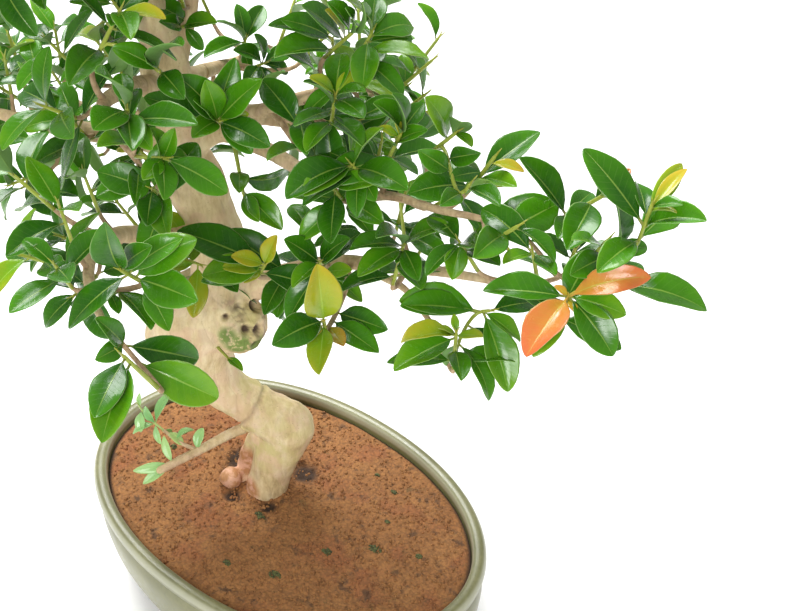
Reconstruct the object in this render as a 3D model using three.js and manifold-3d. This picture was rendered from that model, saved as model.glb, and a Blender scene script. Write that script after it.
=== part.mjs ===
// A eugenia bonsai growing in a glazed oval pot.
// Millimetres, +Z up. The pot's long axis runs along X and the front of the tree faces -Y.

import * as THREE from 'three';
import { mergeVertices } from 'three/addons/utils/BufferGeometryUtils.js';
import Module from 'manifold-3d';

const wasm = await Module();
wasm.setup();

// Driving dimensions

const POT_LENGTH = 466;
const POT_WIDTH = 312;
const POT_HEIGHT = 130;
const OVAL_POWER = 2.1;
const POT_SIDES = 34;
const FOOT_LENGTH = 50;
const FOOT_WIDTH = 24;
const FOOT_X = 115;
const FOOT_Y = 62;
const SHELL_BOTTOM = 10;
const FLOOR_TOP = 20;
const DRAIN_X = 95;
const DRAIN_RADIUS = 13;
const MESH_SIZE = 40;
const MESH_THICKNESS = 1.4;
const SOIL_LEVEL = 118;
const SOIL_MOUND = 4;
const GAP = 0.35;

const BARK_SIDES = 10;
const LIMB_SIDES = 5;
const TWIG_SIDES = 3;
const STEM_SIDES = 4;
const TWIG_RADIUS = 1.9;
const STEM_RADIUS = 1.5;
const GREEN_LENGTH = 44;
const LEAF_LENGTH = 52;
const LEAF_RATIO = 0.25;
const LEAF_THICKNESS = 1.3;
const LEAF_FOLD = 0.34;
const LEAF_BEND = 0.62;
const PETIOLE = 0.09;
const LEAF_START = 0.5;
const CLEAR_THICKNESS = 2.4;

// The pot's section: how far each ring lies inside the rim's outline, and its height.
// It runs up the outside, over the rounded lip and down the inside.

const OUTER_RINGS = [
  [40, SHELL_BOTTOM], [17, 40], [6, 68], [3, 92], [7, 111],
  [0.8, 117], [0, 124], [4, 129.4], [9.5, POT_HEIGHT], [14, 126],
];
const INNER_RINGS = [[15, 100], [21, 50], [36, FLOOR_TOP]];

// The trunk's middle line and radius, from below the soil to the crown: x, y, z, r.

const TRUNK = [
  [-31, 5, 116, 20.5], [-26, 12, 153, 22.5], [-17, 20, 183, 24], [-14, 23, 203, 26], [-31, 6, 221, 23.3],
  [-46, -8, 240, 21.8], [-58, -19, 257, 22.8], [-69, -29, 284, 31], [-75, -34, 312, 42], [-70, -29, 342, 44],
  [-55, -14, 374, 31], [-57, -11, 400, 25.5], [-64, -11, 436, 26], [-72, -15, 472, 26.5], [-77, -24, 512, 22.5],
  [-75, -28, 547, 20.5], [-76, -36, 589, 22], [-77, -36, 617, 20], [-79, -38, 645, 14], [-82, -40, 690, 12],
  [-90, -40, 745, 10], [-88, -30, 800, 8], [-80, -22, 850, 6], [-76, -20, 895, 3.6],
];

// Swellings on the trunk and the old root that stands beside it: x, y, z, r.

const KNUCKLES = [[-90, -46, 318, 30], [-38, -14, 340, 31], [-20, 27, 197, 23], [-62, -16, 128, 12]];
const OLD_ROOT = [[-58, -3, 112, 10], [-60, 4, 140, 8], [-52, 5, 165, 8], [-38, 6, 190, 9.5]];

// What stands in the soil: upright plugs, x, y, r.

const PLUGS = [[-31, 6, 23], [-58, -3, 13], [-62, -16, 9]];
const PLUG_BOTTOM = 78;
const PLUG_TOP = 119;

// The boughs: x, y, z, r along each. SHOOTS says how many leafy shoots the rule adds to a bough.

const BOUGHS = {
  fork: [[-74, -30, 596, 12], [-70, -19, 620, 8], [-67, -12, 646, 7], [-64, -4, 680, 6.2], [-52, 8, 720, 5.6],
    [-38, 22, 765, 4.6], [-30, 30, 805, 3]],
  right_low: [[-50, -8, 362, 16], [-14, 8, 386, 13], [22, 18, 410, 10], [71, 27, 438, 7], [133, 25, 462, 5.2],
    [189, 18, 488, 4], [254, 14, 511, 3.2], [308, 1, 530, 2.4]],
  right_low_side: [[80, 28, 442, 4.5], [125, 22, 449, 3.5], [160, 10, 459, 2.8], [208, -14, 464, 2.2]],
  right_mid: [[-74, -20, 520, 14], [-44, -6, 539, 10], [-1, 1, 537, 7.6], [46, 5, 530, 5.6],
    [92, 8, 522, 4.6], [148, 3, 550, 3.8], [203, 0, 562, 3.2], [244, 0, 572, 2.6], [282, 10, 570, 2.1]],
  right_up: [[-72, -24, 553, 12], [-46, -16, 562, 9], [-24, -12, 568, 7], [11, -11, 582, 5.6],
    [47, -8, 601, 4.6], [80, -6, 618, 3.2]],
  front_low: [[-60, -16, 428, 14], [-51, -50, 446, 11.5], [-32, -93, 475, 9], [-10, -149, 516, 7],
    [26, -200, 540, 5.2], [70, -236, 546, 3.8], [105, -252, 544, 2.6]],
  front_up: [[-76, -38, 572, 13], [-64, -64, 598, 9.5], [-45, -98, 616, 7.5], [-22, -138, 628, 5.6],
    [5, -160, 632, 4], [22, -165, 630, 2.8]],
  left: [[-78, -30, 518, 13], [-106, -52, 528, 10.5], [-140, -82, 534, 8.5], [-170, -106, 540, 6.6],
    [-200, -128, 548, 4.8], [-222, -146, 558, 3]],
  left_low: [[-65, -12, 446, 13], [-105, -6, 462, 9.5], [-160, 2, 478, 7], [-215, -8, 488, 5],
    [-270, -18, 500, 3]],
  back: [[-77, -28, 584, 11], [-92, 10, 572, 7.5], [-112, 52, 556, 6], [-132, 95, 540, 4.6],
    [-150, 140, 536, 3]],
  back_low: [[-62, 4, 538, 9], [-50, 45, 530, 7.6], [-44, 95, 508, 6.5], [-38, 146, 505, 5],
    [-30, 188, 515, 3]],
  right_back: [[-74, -22, 540, 10], [-50, 30, 536, 6.8], [-28, 66, 548, 5.2], [-4, 90, 556, 4],
    [20, 106, 560, 2.6]],
  crown_left: [[-88, -40, 738, 8], [-135, -32, 766, 5.6], [-185, -26, 788, 4.2], [-225, -22, 802, 2.6]],
  crown_front: [[-82, -42, 700, 9], [-70, -92, 738, 5.8], [-52, -135, 762, 4.4], [-34, -168, 778, 2.6]],
  crown_back: [[-88, -30, 796, 7], [-92, 25, 822, 5], [-100, 78, 838, 3.8], [-105, 112, 848, 2.6]],
  crown_right: [[-50, 10, 728, 5.6], [4, 8, 762, 4.6], [58, 4, 788, 3.6], [100, 4, 802, 2.6]],
};

const SHOOTS = {
  left: 3, left_low: 3, back: 3, back_low: 3, right_back: 2,
  crown_left: 3, crown_front: 2, crown_back: 2, crown_right: 3,
};

// The cut stub low on the trunk, and the small-leaved twig that springs from it.

const STUB = [[-20, 16, 208, 8], [-42, -14, 204, 5.4], [-51, -58, 201, 4.4], [-60, -104, 198, 3.8]];
const STUB_TWIG = [[-51, -62, 201, 2.2], [-66, -74, 212, 1.8], [-80, -79, 221, 1.6]];

// Leafy shoots, most of them on the near side. Each has its bough, where along it its twig leaves (0 to 1),
// the colour of its leaves, and its tips: x, y, z, the bearing and rise of the stem, the turn of the first
// pair, and the pairs.

const SPRAYS = [
  ['a1', 'right_low', 1, 'young', [[347, -25, 563, -30, 60, 135, 3]]],
  ['a2', 'right_mid', 1, 'fresh', [[347, 17, 590, 15, 60, 75, 2], [378, 21, 631, -15, 75, 15, 3]]],
  ['a3', 'right_mid', 0.97, 'green', [[324, 42, 607, 0, 45, 105, 3]]],
  ['a4', 'right_mid', 0.76, 'green', [[234, 26, 610, 10, 60, 30, 3]]],
  ['a5', 'right_mid', 0.88, 'green', [[290, -14, 592, 15, 45, 75, 2]]],
  ['a8', 'right_low', 0.9, 'green', [[308, 34, 555, -40, 60, 165, 3]]],
  ['b1', 'right_low', 0.43, 'young', [[171, -97, 492, -45, 45, 0, 3]]],
  ['b2', 'right_low', 0.36, 'green', [[120, -50, 500, -45, 45, 45, 3]]],
  ['b3', 'right_low', 0.28, 'fresh', [[75, -70, 486, -30, 45, 165, 3]]],
  ['b4', 'right_low', 0.6, 'green', [[178, -14, 524, 0, 75, 150, 3]]],
  ['b5', 'right_low_side', 1, 'fresh', [[262, -46, 498, -45, 75, 0, 3], [256, 0, 492, 0, 30, 150, 1]]],
  ['c1', 'right_up', 0.9, 'fresh', [[120, -28, 640, -15, 75, 135, 2]]],
  ['c2', 'right_up', 1, 'fresh', [[110, 2, 680, 0, 45, 165, 3], [80, 10, 662, -45, 45, 0, 1]]],
  ['c4', 'right_mid', 0.6, 'fresh', [[173, -12, 622, -15, 60, 0, 3]]],
  ['c5', 'right_mid', 0.7, 'green', [[209, 10, 628, -15, 45, 75, 2], [246, -16, 610, 15, 60, 90, 1]]],
  ['c7', 'right_mid', 0.5, 'green', [[136, -50, 578, -60, 45, 15, 2]]],
  ['c8', 'right_up', 0.66, 'green', [[88, -36, 612, -45, 60, 30, 3]]],
  ['d1', 'front_up', 0.7, 'green', [[60, -95, 624, -25, 30, 150, 3]]],
  ['d2', 'front_up', 1, 'green', [[68, -168, 600, -60, 45, 75, 3]]],
  ['d3', 'front_up', 0.86, 'green', [[62, -178, 669, -45, 75, 15, 3]]],
  ['d4', 'front_up', 0.6, 'green', [[8, -136, 712, 45, 60, 165, 3], [38, -128, 672, -60, 45, 150, 1]]],
  ['e1', 'front_low', 0.84, 'green', [[134, -250, 600, -60, 45, 135, 3]]],
  ['e2', 'front_low', 1, 'green', [[170, -282, 563, -100, 60, 135, 3]]],
  ['f1', 'right_up', 0.4, 'green', [[12, -34, 512, -15, -75, 90, 2]]],
  ['top_1', 'trunk', 1, 'fresh', [[-60, -20, 985, 0, 75, 30, 2]]],
  ['top_2', 'trunk', 0.97, 'green', [[-130, -50, 935, 200, 55, 80, 2]]],
  ['top_3', 'fork', 1, 'green', [[0, 40, 880, 30, 65, 10, 2]]],
  ['top_4', 'trunk', 0.88, 'green', [[-158, 22, 850, 150, 50, 40, 2]]],
  ['e3', 'front_low', 0.55, 'green', [[-78, -196, 566, 215, 45, 60, 3]]],
];

// Pairs of leaves below a shoot's tip: how far below, the angle to the stem in degrees, and the share of
// full length.

const PAIRS = [[0, 48, 0.84], [12, 68, 1], [32, 82, 1]];

const COLOURS = {
  pot: [0x7d8458, 0.22], soil: [0x6e4632, 0.95], wood: [0xb9a98a, 0.85], mesh: [0x2b2f2a, 0.8],
  green: [0x34502c, 0.3], fresh: [0x56702c, 0.32], young: [0x97862f, 0.35], sprout: [0x8aa763, 0.5],
};

// Small helpers

function makeRandom(seed) {
  let state = seed >>> 0;
  return () => {
    state = (state + 0x6d2b79f5) >>> 0;
    let t = state;
    t = Math.imul(t ^ (t >>> 15), t | 1);
    t ^= t + Math.imul(t ^ (t >>> 7), t | 61);
    return ((t ^ (t >>> 14)) >>> 0) / 4294967296;
  };
}

const vec = (x, y, z) => new THREE.Vector3(x, y, z);
const UP = vec(0, 0, 1);

function heading(bearing, rise) {
  const b = THREE.MathUtils.degToRad(bearing);
  const r = THREE.MathUtils.degToRad(rise);
  return vec(Math.cos(r) * Math.cos(b), Math.cos(r) * Math.sin(b), Math.sin(r));
}

// A closed geometry as a solid, and a solid's surface as a geometry.

function solid(geometry) {
  const plain = geometry.clone();
  plain.deleteAttribute('normal');
  plain.deleteAttribute('uv');
  const merged = mergeVertices(plain, 1e-4);
  const index = [];
  const source = merged.index.array;
  for (let i = 0; i < source.length; i += 3) {
    const [a, b, c] = [source[i], source[i + 1], source[i + 2]];
    if (a !== b && b !== c && c !== a) {
      index.push(a, b, c);
    }
  }
  const mesh = new wasm.Mesh({
    numProp: 3,
    vertProperties: new Float32Array(merged.attributes.position.array),
    triVerts: new Uint32Array(index),
  });
  return new wasm.Manifold(mesh);
}

function surface(body) {
  const mesh = body.getMesh();
  const geometry = new THREE.BufferGeometry();
  geometry.setAttribute('position', new THREE.BufferAttribute(new Float32Array(mesh.vertProperties), 3));
  geometry.setIndex(new THREE.BufferAttribute(new Uint32Array(mesh.triVerts), 1));
  geometry.computeVertexNormals();
  return geometry;
}

function join(bodies) {
  return bodies.reduce((whole, body) => whole.add(body));
}

// The largest closed shell of a body: hollows that joining sealed are filled and loose scraps are dropped.

function mainShell(body) {
  return body.decompose().reduce((best, shell) => (shell.volume() > best.volume() ? shell : best));
}

// Moves each point of a cylinder: place gets its height share from 0 to 1 and its direction across.

function shaped(sides, steps, tipRadius, place) {
  const geometry = new THREE.CylinderGeometry(tipRadius, 1, 1, sides, steps);
  const at = geometry.attributes.position;
  for (let i = 0; i < at.count; i++) {
    const share = at.getY(i) + 0.5;
    const [x, z] = [at.getX(i), at.getZ(i)];
    const reach = Math.hypot(x, z);
    const across = reach < 1e-6 ? [0, 0] : [x / reach, z / reach];
    const p = place(share, across[0], across[1]);
    at.setXYZ(i, p.x, p.y, p.z);
  }
  return geometry;
}

// A line through x, y, z, r points.

function makeLine(points) {
  const curve = new THREE.CatmullRomCurve3(points.map(([x, y, z]) => vec(x, y, z)), false, 'catmullrom', 0.5);
  const radii = points.map((p) => p[3]);
  const radius = (t) => {
    const at = Math.min(t, 0.99999) * (radii.length - 1);
    const k = Math.floor(at);
    return radii[k] + (radii[k + 1] - radii[k]) * (at - k);
  };
  return { curve, radius, count: points.length };
}

function twigLine(from, lead, tip, axis, startRadius, endRadius) {
  const reach = from.distanceTo(tip) * 0.36;
  const curve = new THREE.CubicBezierCurve3(
    from, from.clone().addScaledVector(lead, reach), tip.clone().addScaledVector(axis, -reach), tip,
  );
  return { curve, radius: (t) => startRadius + (endRadius - startRadius) * t, count: 4 };
}

// A limb of round section along a line, with rings carried along without twist from a first side.

function limb(line, sides, steps, firstSide = null) {
  const rings = [];
  let side = firstSide;
  for (let k = 0; k <= steps; k++) {
    const t = k / steps;
    const tangent = line.curve.getTangent(t);
    if (side === null) {
      side = Math.abs(tangent.z) < 0.9 ? UP : vec(1, 0, 0);
    }
    side = side.clone().addScaledVector(tangent, -side.dot(tangent)).normalize();
    rings.push({ at: line.curve.getPoint(t), side, other: side.clone().cross(tangent), r: line.radius(t) });
  }
  return shaped(sides, steps, 1, (share, x, z) => {
    const ring = rings[Math.round(share * steps)];
    return ring.at.clone().addScaledVector(ring.side, x * ring.r).addScaledVector(ring.other, z * ring.r);
  });
}

// Outline of the oval at an inset from the rim.

function ovalPoint(inset, x, y) {
  const curved = (v) => Math.sign(v) * Math.abs(v) ** (2 / OVAL_POWER);
  return [(POT_LENGTH / 2 - inset) * curved(x), (POT_WIDTH / 2 - inset) * curved(y)];
}

function ovalRings(rings, middle) {
  return (share, x, z) => {
    const [inset, height] = rings[Math.round(share * (rings.length - 1))];
    if (x === 0 && z === 0) {
      return vec(0, 0, share > 0.5 ? middle : height);
    }
    const [px, py] = ovalPoint(inset, x, -z);
    return vec(px, py, height);
  };
}

// Pot, soil and drain meshes

function makePot() {
  const rings = [...OUTER_RINGS, ...INNER_RINGS];
  let body = solid(shaped(POT_SIDES, rings.length - 1, 1, ovalRings(rings, FLOOR_TOP)));
  for (const x of [-FOOT_X, FOOT_X]) {
    for (const y of [-FOOT_Y, FOOT_Y]) {
      body = body.add(block(x, y, (SHELL_BOTTOM + 4) / 2, FOOT_LENGTH, FOOT_WIDTH, SHELL_BOTTOM + 4));
    }
  }
  for (const x of [-DRAIN_X, DRAIN_X]) {
    body = body.subtract(upright(x, 0, DRAIN_RADIUS, 0, FLOOR_TOP + 10, 12));
  }
  return body;
}

function upright(x, y, radius, low, high, sides) {
  const post = new THREE.CylinderGeometry(radius, radius, high - low, sides);
  post.rotateX(Math.PI / 2);
  post.translate(x, y, (low + high) / 2);
  return solid(post);
}

function soilHeight(x, y) {
  const away = Math.hypot(x + 40, y);
  const swell = Math.sin(x * 0.05 + 1) * Math.cos(y * 0.06);
  return SOIL_LEVEL + SOIL_MOUND * Math.exp(-((away / 90) ** 2)) + swell;
}

function makeSoil() {
  const wall = INNER_RINGS.slice().reverse().map(([inset, height]) => [inset + GAP, height]);
  wall[0][1] += GAP;
  const rings = [...wall, [14.6 + GAP, SOIL_LEVEL - 2], [50, 0], [105, 0]];
  const place = ovalRings(rings, 0);
  const body = solid(shaped(POT_SIDES, rings.length - 1, 1, (share, x, z) => {
    const p = place(share, x, z);
    if (p.z === 0) {
      p.z = soilHeight(p.x, p.y);
    }
    return p;
  }));
  const top = POT_HEIGHT + 20;
  const holes = PLUGS.map(([x, y, r]) => upright(x, y, r + 2 * GAP, PLUG_BOTTOM - GAP, top, BARK_SIDES));
  const wide = MESH_SIZE + 2 * GAP;
  const deep = 2 * (MESH_THICKNESS + 2 * GAP);
  const rests = [-DRAIN_X, DRAIN_X].map((x) => block(x, 0, FLOOR_TOP, wide, wide, deep));
  return body.subtract(join([...holes, ...rests]));
}

function block(x, y, z, wide, deep, high) {
  const box = new THREE.BoxGeometry(wide, deep, high);
  box.translate(x, y, z);
  return solid(box);
}

function makeDrainMesh(x) {
  const height = FLOOR_TOP + GAP + MESH_THICKNESS / 2;
  let grid = block(x, 0, height, MESH_SIZE, MESH_SIZE, MESH_THICKNESS);
  for (const a of [-9, 9]) {
    for (const b of [-9, 9]) {
      grid = grid.subtract(block(x + a, b, height, 12, 12, 4));
    }
  }
  return grid;
}

// One leaf: a thin folded blade, narrow where it leaves the stem and arched back from its face.

const LEAF_STATIONS = [0, 0.37, 0.74, 1];
const LEAF_WIDTHS = [0.02, 0.94, 0.88, 0];

function leaf(base, out, face, length, thickness) {
  const side = out.clone().cross(face);
  const steps = LEAF_STATIONS.length - 1;
  return shaped(4, steps, 0, (share, x, z) => {
    const k = Math.round(share * steps);
    const s = LEAF_STATIONS[k];
    const turn = LEAF_BEND * Math.max(s - PETIOLE, 0);
    const along = turn < 1e-6 ? s : PETIOLE + Math.sin(turn) / LEAF_BEND;
    const drop = (1 - Math.cos(turn)) / LEAF_BEND;
    const normal = face.clone().multiplyScalar(Math.cos(turn)).addScaledVector(out, Math.sin(turn));
    const half = LEAF_WIDTHS[k] * LEAF_RATIO * length;
    const point = base.clone().addScaledVector(out, along * length).addScaledVector(face, -drop * length);
    point.addScaledVector(side, x * half * Math.cos(LEAF_FOLD));
    const rise = Math.abs(x) * half * Math.sin(LEAF_FOLD);
    point.addScaledVector(normal, rise + z * (k === steps ? 0 : thickness / 2));
    return point;
  });
}

// The direction that points away from a stem at a turn about it, in degrees.

function radialOf(axis, turn) {
  const across = UP.clone().cross(axis).normalize();
  const other = axis.clone().cross(across);
  const around = THREE.MathUtils.degToRad(turn);
  return across.multiplyScalar(Math.cos(around)).addScaledVector(other, Math.sin(around));
}

// The leaves of one tip, in pairs that turn a quarter from one to the next.

function leavesOf(tip, axis, turn, pairs, size, random) {
  const leaves = [];
  for (let i = 0; i < pairs; i++) {
    const [below, angle, share] = PAIRS[i];
    for (let k = 0; k < 2; k++) {
      const radial = radialOf(axis, turn + 90 * i + 180 * k + (random() - 0.5) * 16);
      const lean = THREE.MathUtils.degToRad(angle + (random() - 0.5) * 14);
      const length = LEAF_LENGTH * size * share * (0.9 + 0.2 * random());
      const out = axis.clone().multiplyScalar(Math.cos(lean)).addScaledVector(radial, Math.sin(lean));
      out.normalize();
      const inner = axis.clone().addScaledVector(out, -axis.dot(out)).normalize();
      const face = inner.multiplyScalar(0.6).addScaledVector(UP, 0.55);
      face.addScaledVector(out, -face.dot(out)).normalize();
      const base = tip.clone().addScaledVector(axis, -below - 2.5).addScaledVector(radial, LEAF_START);
      leaves.push({ base, out, face, length });
    }
  }
  return leaves;
}

// Every spray: the seen ones, and those that a rule sets along the other boughs.

function ruledSprays(lines) {
  const sprays = [];
  let seed = 11;
  for (const [bough, count] of Object.entries(SHOOTS)) {
    const line = lines[bough];
    for (let k = 0; k < count; k++) {
      const random = makeRandom(seed++);
      const last = k === count - 1;
      const t = last ? 1 : 0.58 + 0.26 * k;
      const tangent = line.curve.getTangent(t);
      const across = tangent.clone().cross(UP).normalize().multiplyScalar(k % 2 === 0 ? 1 : -1);
      const lead = tangent.clone().multiplyScalar(last ? 1 : 0.55).addScaledVector(across, last ? 0.1 : 0.85);
      lead.addScaledVector(UP, last ? 0.35 : 0.45).normalize();
      const reach = last ? 66 : 92 + 20 * random();
      const tip = line.curve.getPoint(t).addScaledVector(lead, reach);
      const bearing = THREE.MathUtils.radToDeg(Math.atan2(lead.y, lead.x));
      const tint = random() < 0.35 ? 'fresh' : 'green';
      const turn = Math.round(random() * 12) * 15;
      const pairs = bough.startsWith('crown') ? 3 : 2;
      sprays.push([`${bough}_${k + 1}`, bough, t, tint, [[tip.x, tip.y, tip.z, bearing, 45, turn, pairs]]]);
    }
  }
  return sprays;
}

function growSpray([name, bough, t, tint, tips], line, number) {
  const [x, y, z, bearing, rise] = tips[0];
  const axis = heading(bearing, rise);
  const tip = vec(x, y, z);
  const from = line.curve.getPoint(Math.min(t, 0.97));
  const green = Math.min(GREEN_LENGTH, from.distanceTo(tip) * 0.62);
  const base = tip.clone().addScaledVector(axis, -green);
  const lead = base.clone().sub(from).normalize().multiplyScalar(0.8);
  lead.addScaledVector(line.curve.getTangent(t), 0.5).normalize();
  const random = makeRandom(1000 + number);
  const stems = [];
  const leaves = [];
  const foot = base.clone().addScaledVector(axis, GAP);
  tips.forEach(([tx, ty, tz, tb, tr, turn, pairs], k) => {
    const way = heading(tb, tr);
    const end = vec(tx, ty, tz);
    if (k === 0) {
      const straight = new THREE.LineCurve3(foot, end);
      const radius = (s) => STEM_RADIUS + 0.4 * (1 - s);
      stems.push(limb({ curve: straight, radius }, STEM_SIDES, 1, radialOf(axis, turn + 45)));
    } else {
      const start = foot.clone().addScaledVector(axis, green * 0.25);
      const straight = pairs > 1 ? PAIRS[pairs - 1][0] + 5 : 8;
      const knee = end.clone().addScaledVector(way, -straight);
      const side = twigLine(start, axis, knee.clone().addScaledVector(way, 1), way, STEM_RADIUS, STEM_RADIUS);
      const upper = { curve: new THREE.LineCurve3(knee, end), radius: () => STEM_RADIUS };
      stems.push(limb(side, STEM_SIDES, 2), limb(upper, STEM_SIDES, 1, radialOf(way, turn + 45)));
    }
    leaves.push(...leavesOf(end, way, turn, pairs, 1, random));
  });
  const start = Math.min(line.radius(t) * 0.8, TWIG_RADIUS + 1.2);
  const twig = twigLine(from, lead, base, axis, start, TWIG_RADIUS);
  return { name, tint, twig, twigLength: from.distanceTo(base), stems: join(stems.map(solid)), leaves };
}

function growSprout() {
  const random = makeRandom(7);
  const line = makeLine(STUB_TWIG);
  const end = line.curve.getPoint(1);
  const axis = line.curve.getTangent(1);
  const foot = end.clone().addScaledVector(axis, GAP);
  const tip = vec(-107, -86, 242);
  const stem = twigLine(foot, axis, tip, heading(200, 60), 1.2, 1);
  const leaves = [];
  for (const [t, turn, pairs] of [[1, 20, 2], [0.45, 80, 1]]) {
    leaves.push(...leavesOf(stem.curve.getPoint(t), stem.curve.getTangent(t), turn, pairs, 0.5, random));
  }
  return { name: 'sprout', tint: 'sprout', stems: solid(limb(stem, STEM_SIDES, 4)), leaves };
}

// Wood: trunk, boughs, twigs, stub and roots grown as one piece

function makeWood(lines, sprays) {
  const pieces = [solid(limb(lines.trunk, BARK_SIDES, TRUNK.length - 1))];
  for (const [x, y, z, r] of KNUCKLES) {
    const knuckle = new THREE.IcosahedronGeometry(r, r > 20 ? 1 : 0);
    knuckle.translate(x, y, z);
    pieces.push(solid(knuckle));
  }
  pieces.push(solid(limb(makeLine(OLD_ROOT), 7, 4)));
  for (const [x, y, r] of PLUGS) {
    pieces.push(upright(x, y, r, PLUG_BOTTOM, PLUG_TOP, BARK_SIDES));
  }
  for (const name of Object.keys(BOUGHS)) {
    const line = lines[name];
    pieces.push(solid(limb(line, LIMB_SIDES, line.count - 1)));
  }
  pieces.push(solid(limb(makeLine(STUB), LIMB_SIDES, 3)));
  pieces.push(solid(limb(makeLine(STUB_TWIG), TWIG_SIDES, 2)));
  for (const spray of sprays) {
    if (spray.twig) {
      pieces.push(solid(limb(spray.twig, TWIG_SIDES, spray.twigLength > 90 ? 3 : 2)));
    }
  }
  return join(pieces);
}

// Leaves that would cross another piece are left off; the others are fused to their stems.

function boxesMeet(a, b) {
  return [0, 1, 2].every((k) => a.min[k] < b.max[k] && b.min[k] < a.max[k]);
}

function placeLeaves(sprays, still) {
  const placed = still.map((body) => ({ body, box: body.boundingBox(), owner: null }));
  sprays.forEach((spray) => placed.push({ body: spray.stems, box: spray.stems.boundingBox(), owner: spray }));
  for (const spray of sprays) {
    spray.blades = [];
    for (const { base, out, face, length } of spray.leaves) {
      const test = solid(leaf(base, out, face, length * 1.02, CLEAR_THICKNESS));
      const box = test.boundingBox();
      const crosses = placed.some((other) => other.owner !== spray && boxesMeet(box, other.box)
        && !test.intersect(other.body).isEmpty());
      if (!crosses) {
        placed.push({ body: test, box, owner: spray });
        spray.blades.push(solid(leaf(base, out, face, length, LEAF_THICKNESS)));
      }
    }
  }
}

// The whole tree

const lines = { trunk: makeLine(TRUNK) };
for (const [name, points] of Object.entries(BOUGHS)) {
  lines[name] = makeLine(points);
}
const sprays = [...SPRAYS, ...ruledSprays(lines)].map((entry, k) => growSpray(entry, lines[entry[1]], k));
sprays.push(growSprout());

const pot = makePot();
const soil = makeSoil();
const wood = mainShell(makeWood(lines, sprays));
placeLeaves(sprays, [pot, soil, wood]);

const tree = new THREE.Group();

function addPiece(name, body, look) {
  const [color, roughness] = COLOURS[look];
  const material = new THREE.MeshStandardMaterial({ color, roughness, metalness: 0 });
  const mesh = new THREE.Mesh(surface(body), material);
  mesh.name = name;
  tree.add(mesh);
}

addPiece('pot', pot, 'pot');
addPiece('soil', soil, 'soil');
addPiece('wood', wood, 'wood');
addPiece('drain_mesh_left', makeDrainMesh(-DRAIN_X), 'mesh');
addPiece('drain_mesh_right', makeDrainMesh(DRAIN_X), 'mesh');
for (const spray of sprays) {
  addPiece(`spray_${spray.name}`, mainShell(join([spray.stems, ...spray.blades])), spray.tint);
}

// The tree is set so that the origin lies under the middle of its whole outline.

const bounds = new THREE.Box3().setFromObject(tree);
const middle = bounds.getCenter(vec(0, 0, 0));
tree.position.set(-middle.x, -middle.y, -bounds.min.z);

const bonsai = new THREE.Group();
bonsai.add(tree);
export default bonsai;
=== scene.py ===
"""The looks of a eugenia bonsai in its glazed oval pot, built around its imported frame.

Sizes here are in plan millimetres: the origin lies under the middle of the pot, the pot's long side runs
along X and Z points up. to_frame() turns them into the frame's metres.
"""

import math

import bmesh
import bpy
import numpy as np
from mathutils import Matrix, Vector, noise


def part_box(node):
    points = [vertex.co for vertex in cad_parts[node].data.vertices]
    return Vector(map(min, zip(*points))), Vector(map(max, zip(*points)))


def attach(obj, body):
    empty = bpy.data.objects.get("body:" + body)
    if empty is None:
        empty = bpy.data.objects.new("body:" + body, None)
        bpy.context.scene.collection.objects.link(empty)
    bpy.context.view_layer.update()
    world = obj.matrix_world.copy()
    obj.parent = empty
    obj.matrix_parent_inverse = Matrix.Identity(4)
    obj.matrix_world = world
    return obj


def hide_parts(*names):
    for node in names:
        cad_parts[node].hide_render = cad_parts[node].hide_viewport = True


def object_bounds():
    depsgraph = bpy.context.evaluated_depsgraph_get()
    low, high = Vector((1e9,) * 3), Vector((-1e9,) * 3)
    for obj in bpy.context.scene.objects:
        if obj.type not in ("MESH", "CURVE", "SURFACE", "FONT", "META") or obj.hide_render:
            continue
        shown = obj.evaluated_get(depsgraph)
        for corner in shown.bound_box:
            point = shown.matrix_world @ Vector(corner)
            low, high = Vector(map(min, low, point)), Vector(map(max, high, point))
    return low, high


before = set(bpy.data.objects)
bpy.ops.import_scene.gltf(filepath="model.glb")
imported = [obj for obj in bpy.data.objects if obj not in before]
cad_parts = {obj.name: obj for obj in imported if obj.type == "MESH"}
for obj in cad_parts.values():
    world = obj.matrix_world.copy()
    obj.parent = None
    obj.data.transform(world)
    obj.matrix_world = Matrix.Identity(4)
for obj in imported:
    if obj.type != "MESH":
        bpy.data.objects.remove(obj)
cad_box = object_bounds()

MM = 0.001
POT_LOW, POT_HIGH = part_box("pot")
PLAN_ORIGIN = np.array([(POT_LOW.x + POT_HIGH.x) / 2, (POT_LOW.y + POT_HIGH.y) / 2, POT_LOW.z])
POT_LENGTH = (POT_HIGH.x - POT_LOW.x) / MM
POT_WIDTH = (POT_HIGH.y - POT_LOW.y) / MM
BODY = "root"

# The camera: the photograph's viewing angle, the point on the floor that it looks at, and how far off it
# stands.

IMAGE_WIDTH, IMAGE_HEIGHT = 800, 611
CAMERA_AZIMUTH = 42.8
CAMERA_ELEVATION = 36.1
CAMERA_TARGET = (-258, 453, 0)
CAMERA_DISTANCE = 2000
FOCAL_PIXELS = 1487
SENSOR_WIDTH = 36.0

# The studio's light, in metres and watts: name, place, size and power. FLOOR_HALF is half the floor's side.

WORLD_STRENGTH = 0.44
LIGHTS = [("key", (-1.6, 0.6, 3.0), 2.2, 195), ("fill", (1.8, -2.4, 2.2), 1.4, 90)]
LIGHT_TARGET = (0, 0, 0.4)
FLOOR_HALF = 9

# Pot and soil

OVAL_POWER = 2.1
POT_SIDES = 160
POT_SMOOTHING = 3
FOOT_LENGTH, FOOT_WIDTH, FOOT_HEIGHT = 50, 24, 15
FOOT_CORNER, FOOT_EDGE, FOOT_TAPER = 6, 1.2, 0.98
FOOT_X, FOOT_Y = 115, 62
DRAIN_X, DRAIN_RADIUS, DRAIN_DEPTH = 95, 13, 30
SOIL_LEVEL = 118
SOIL_MOUND, MOUND_X, MOUND_REACH = 4, -40, 90
SOIL_COLUMNS, SOIL_ROWS = 230, 156
HOLLOW_DEPTH = 5
GRAINS = 3200

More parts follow.
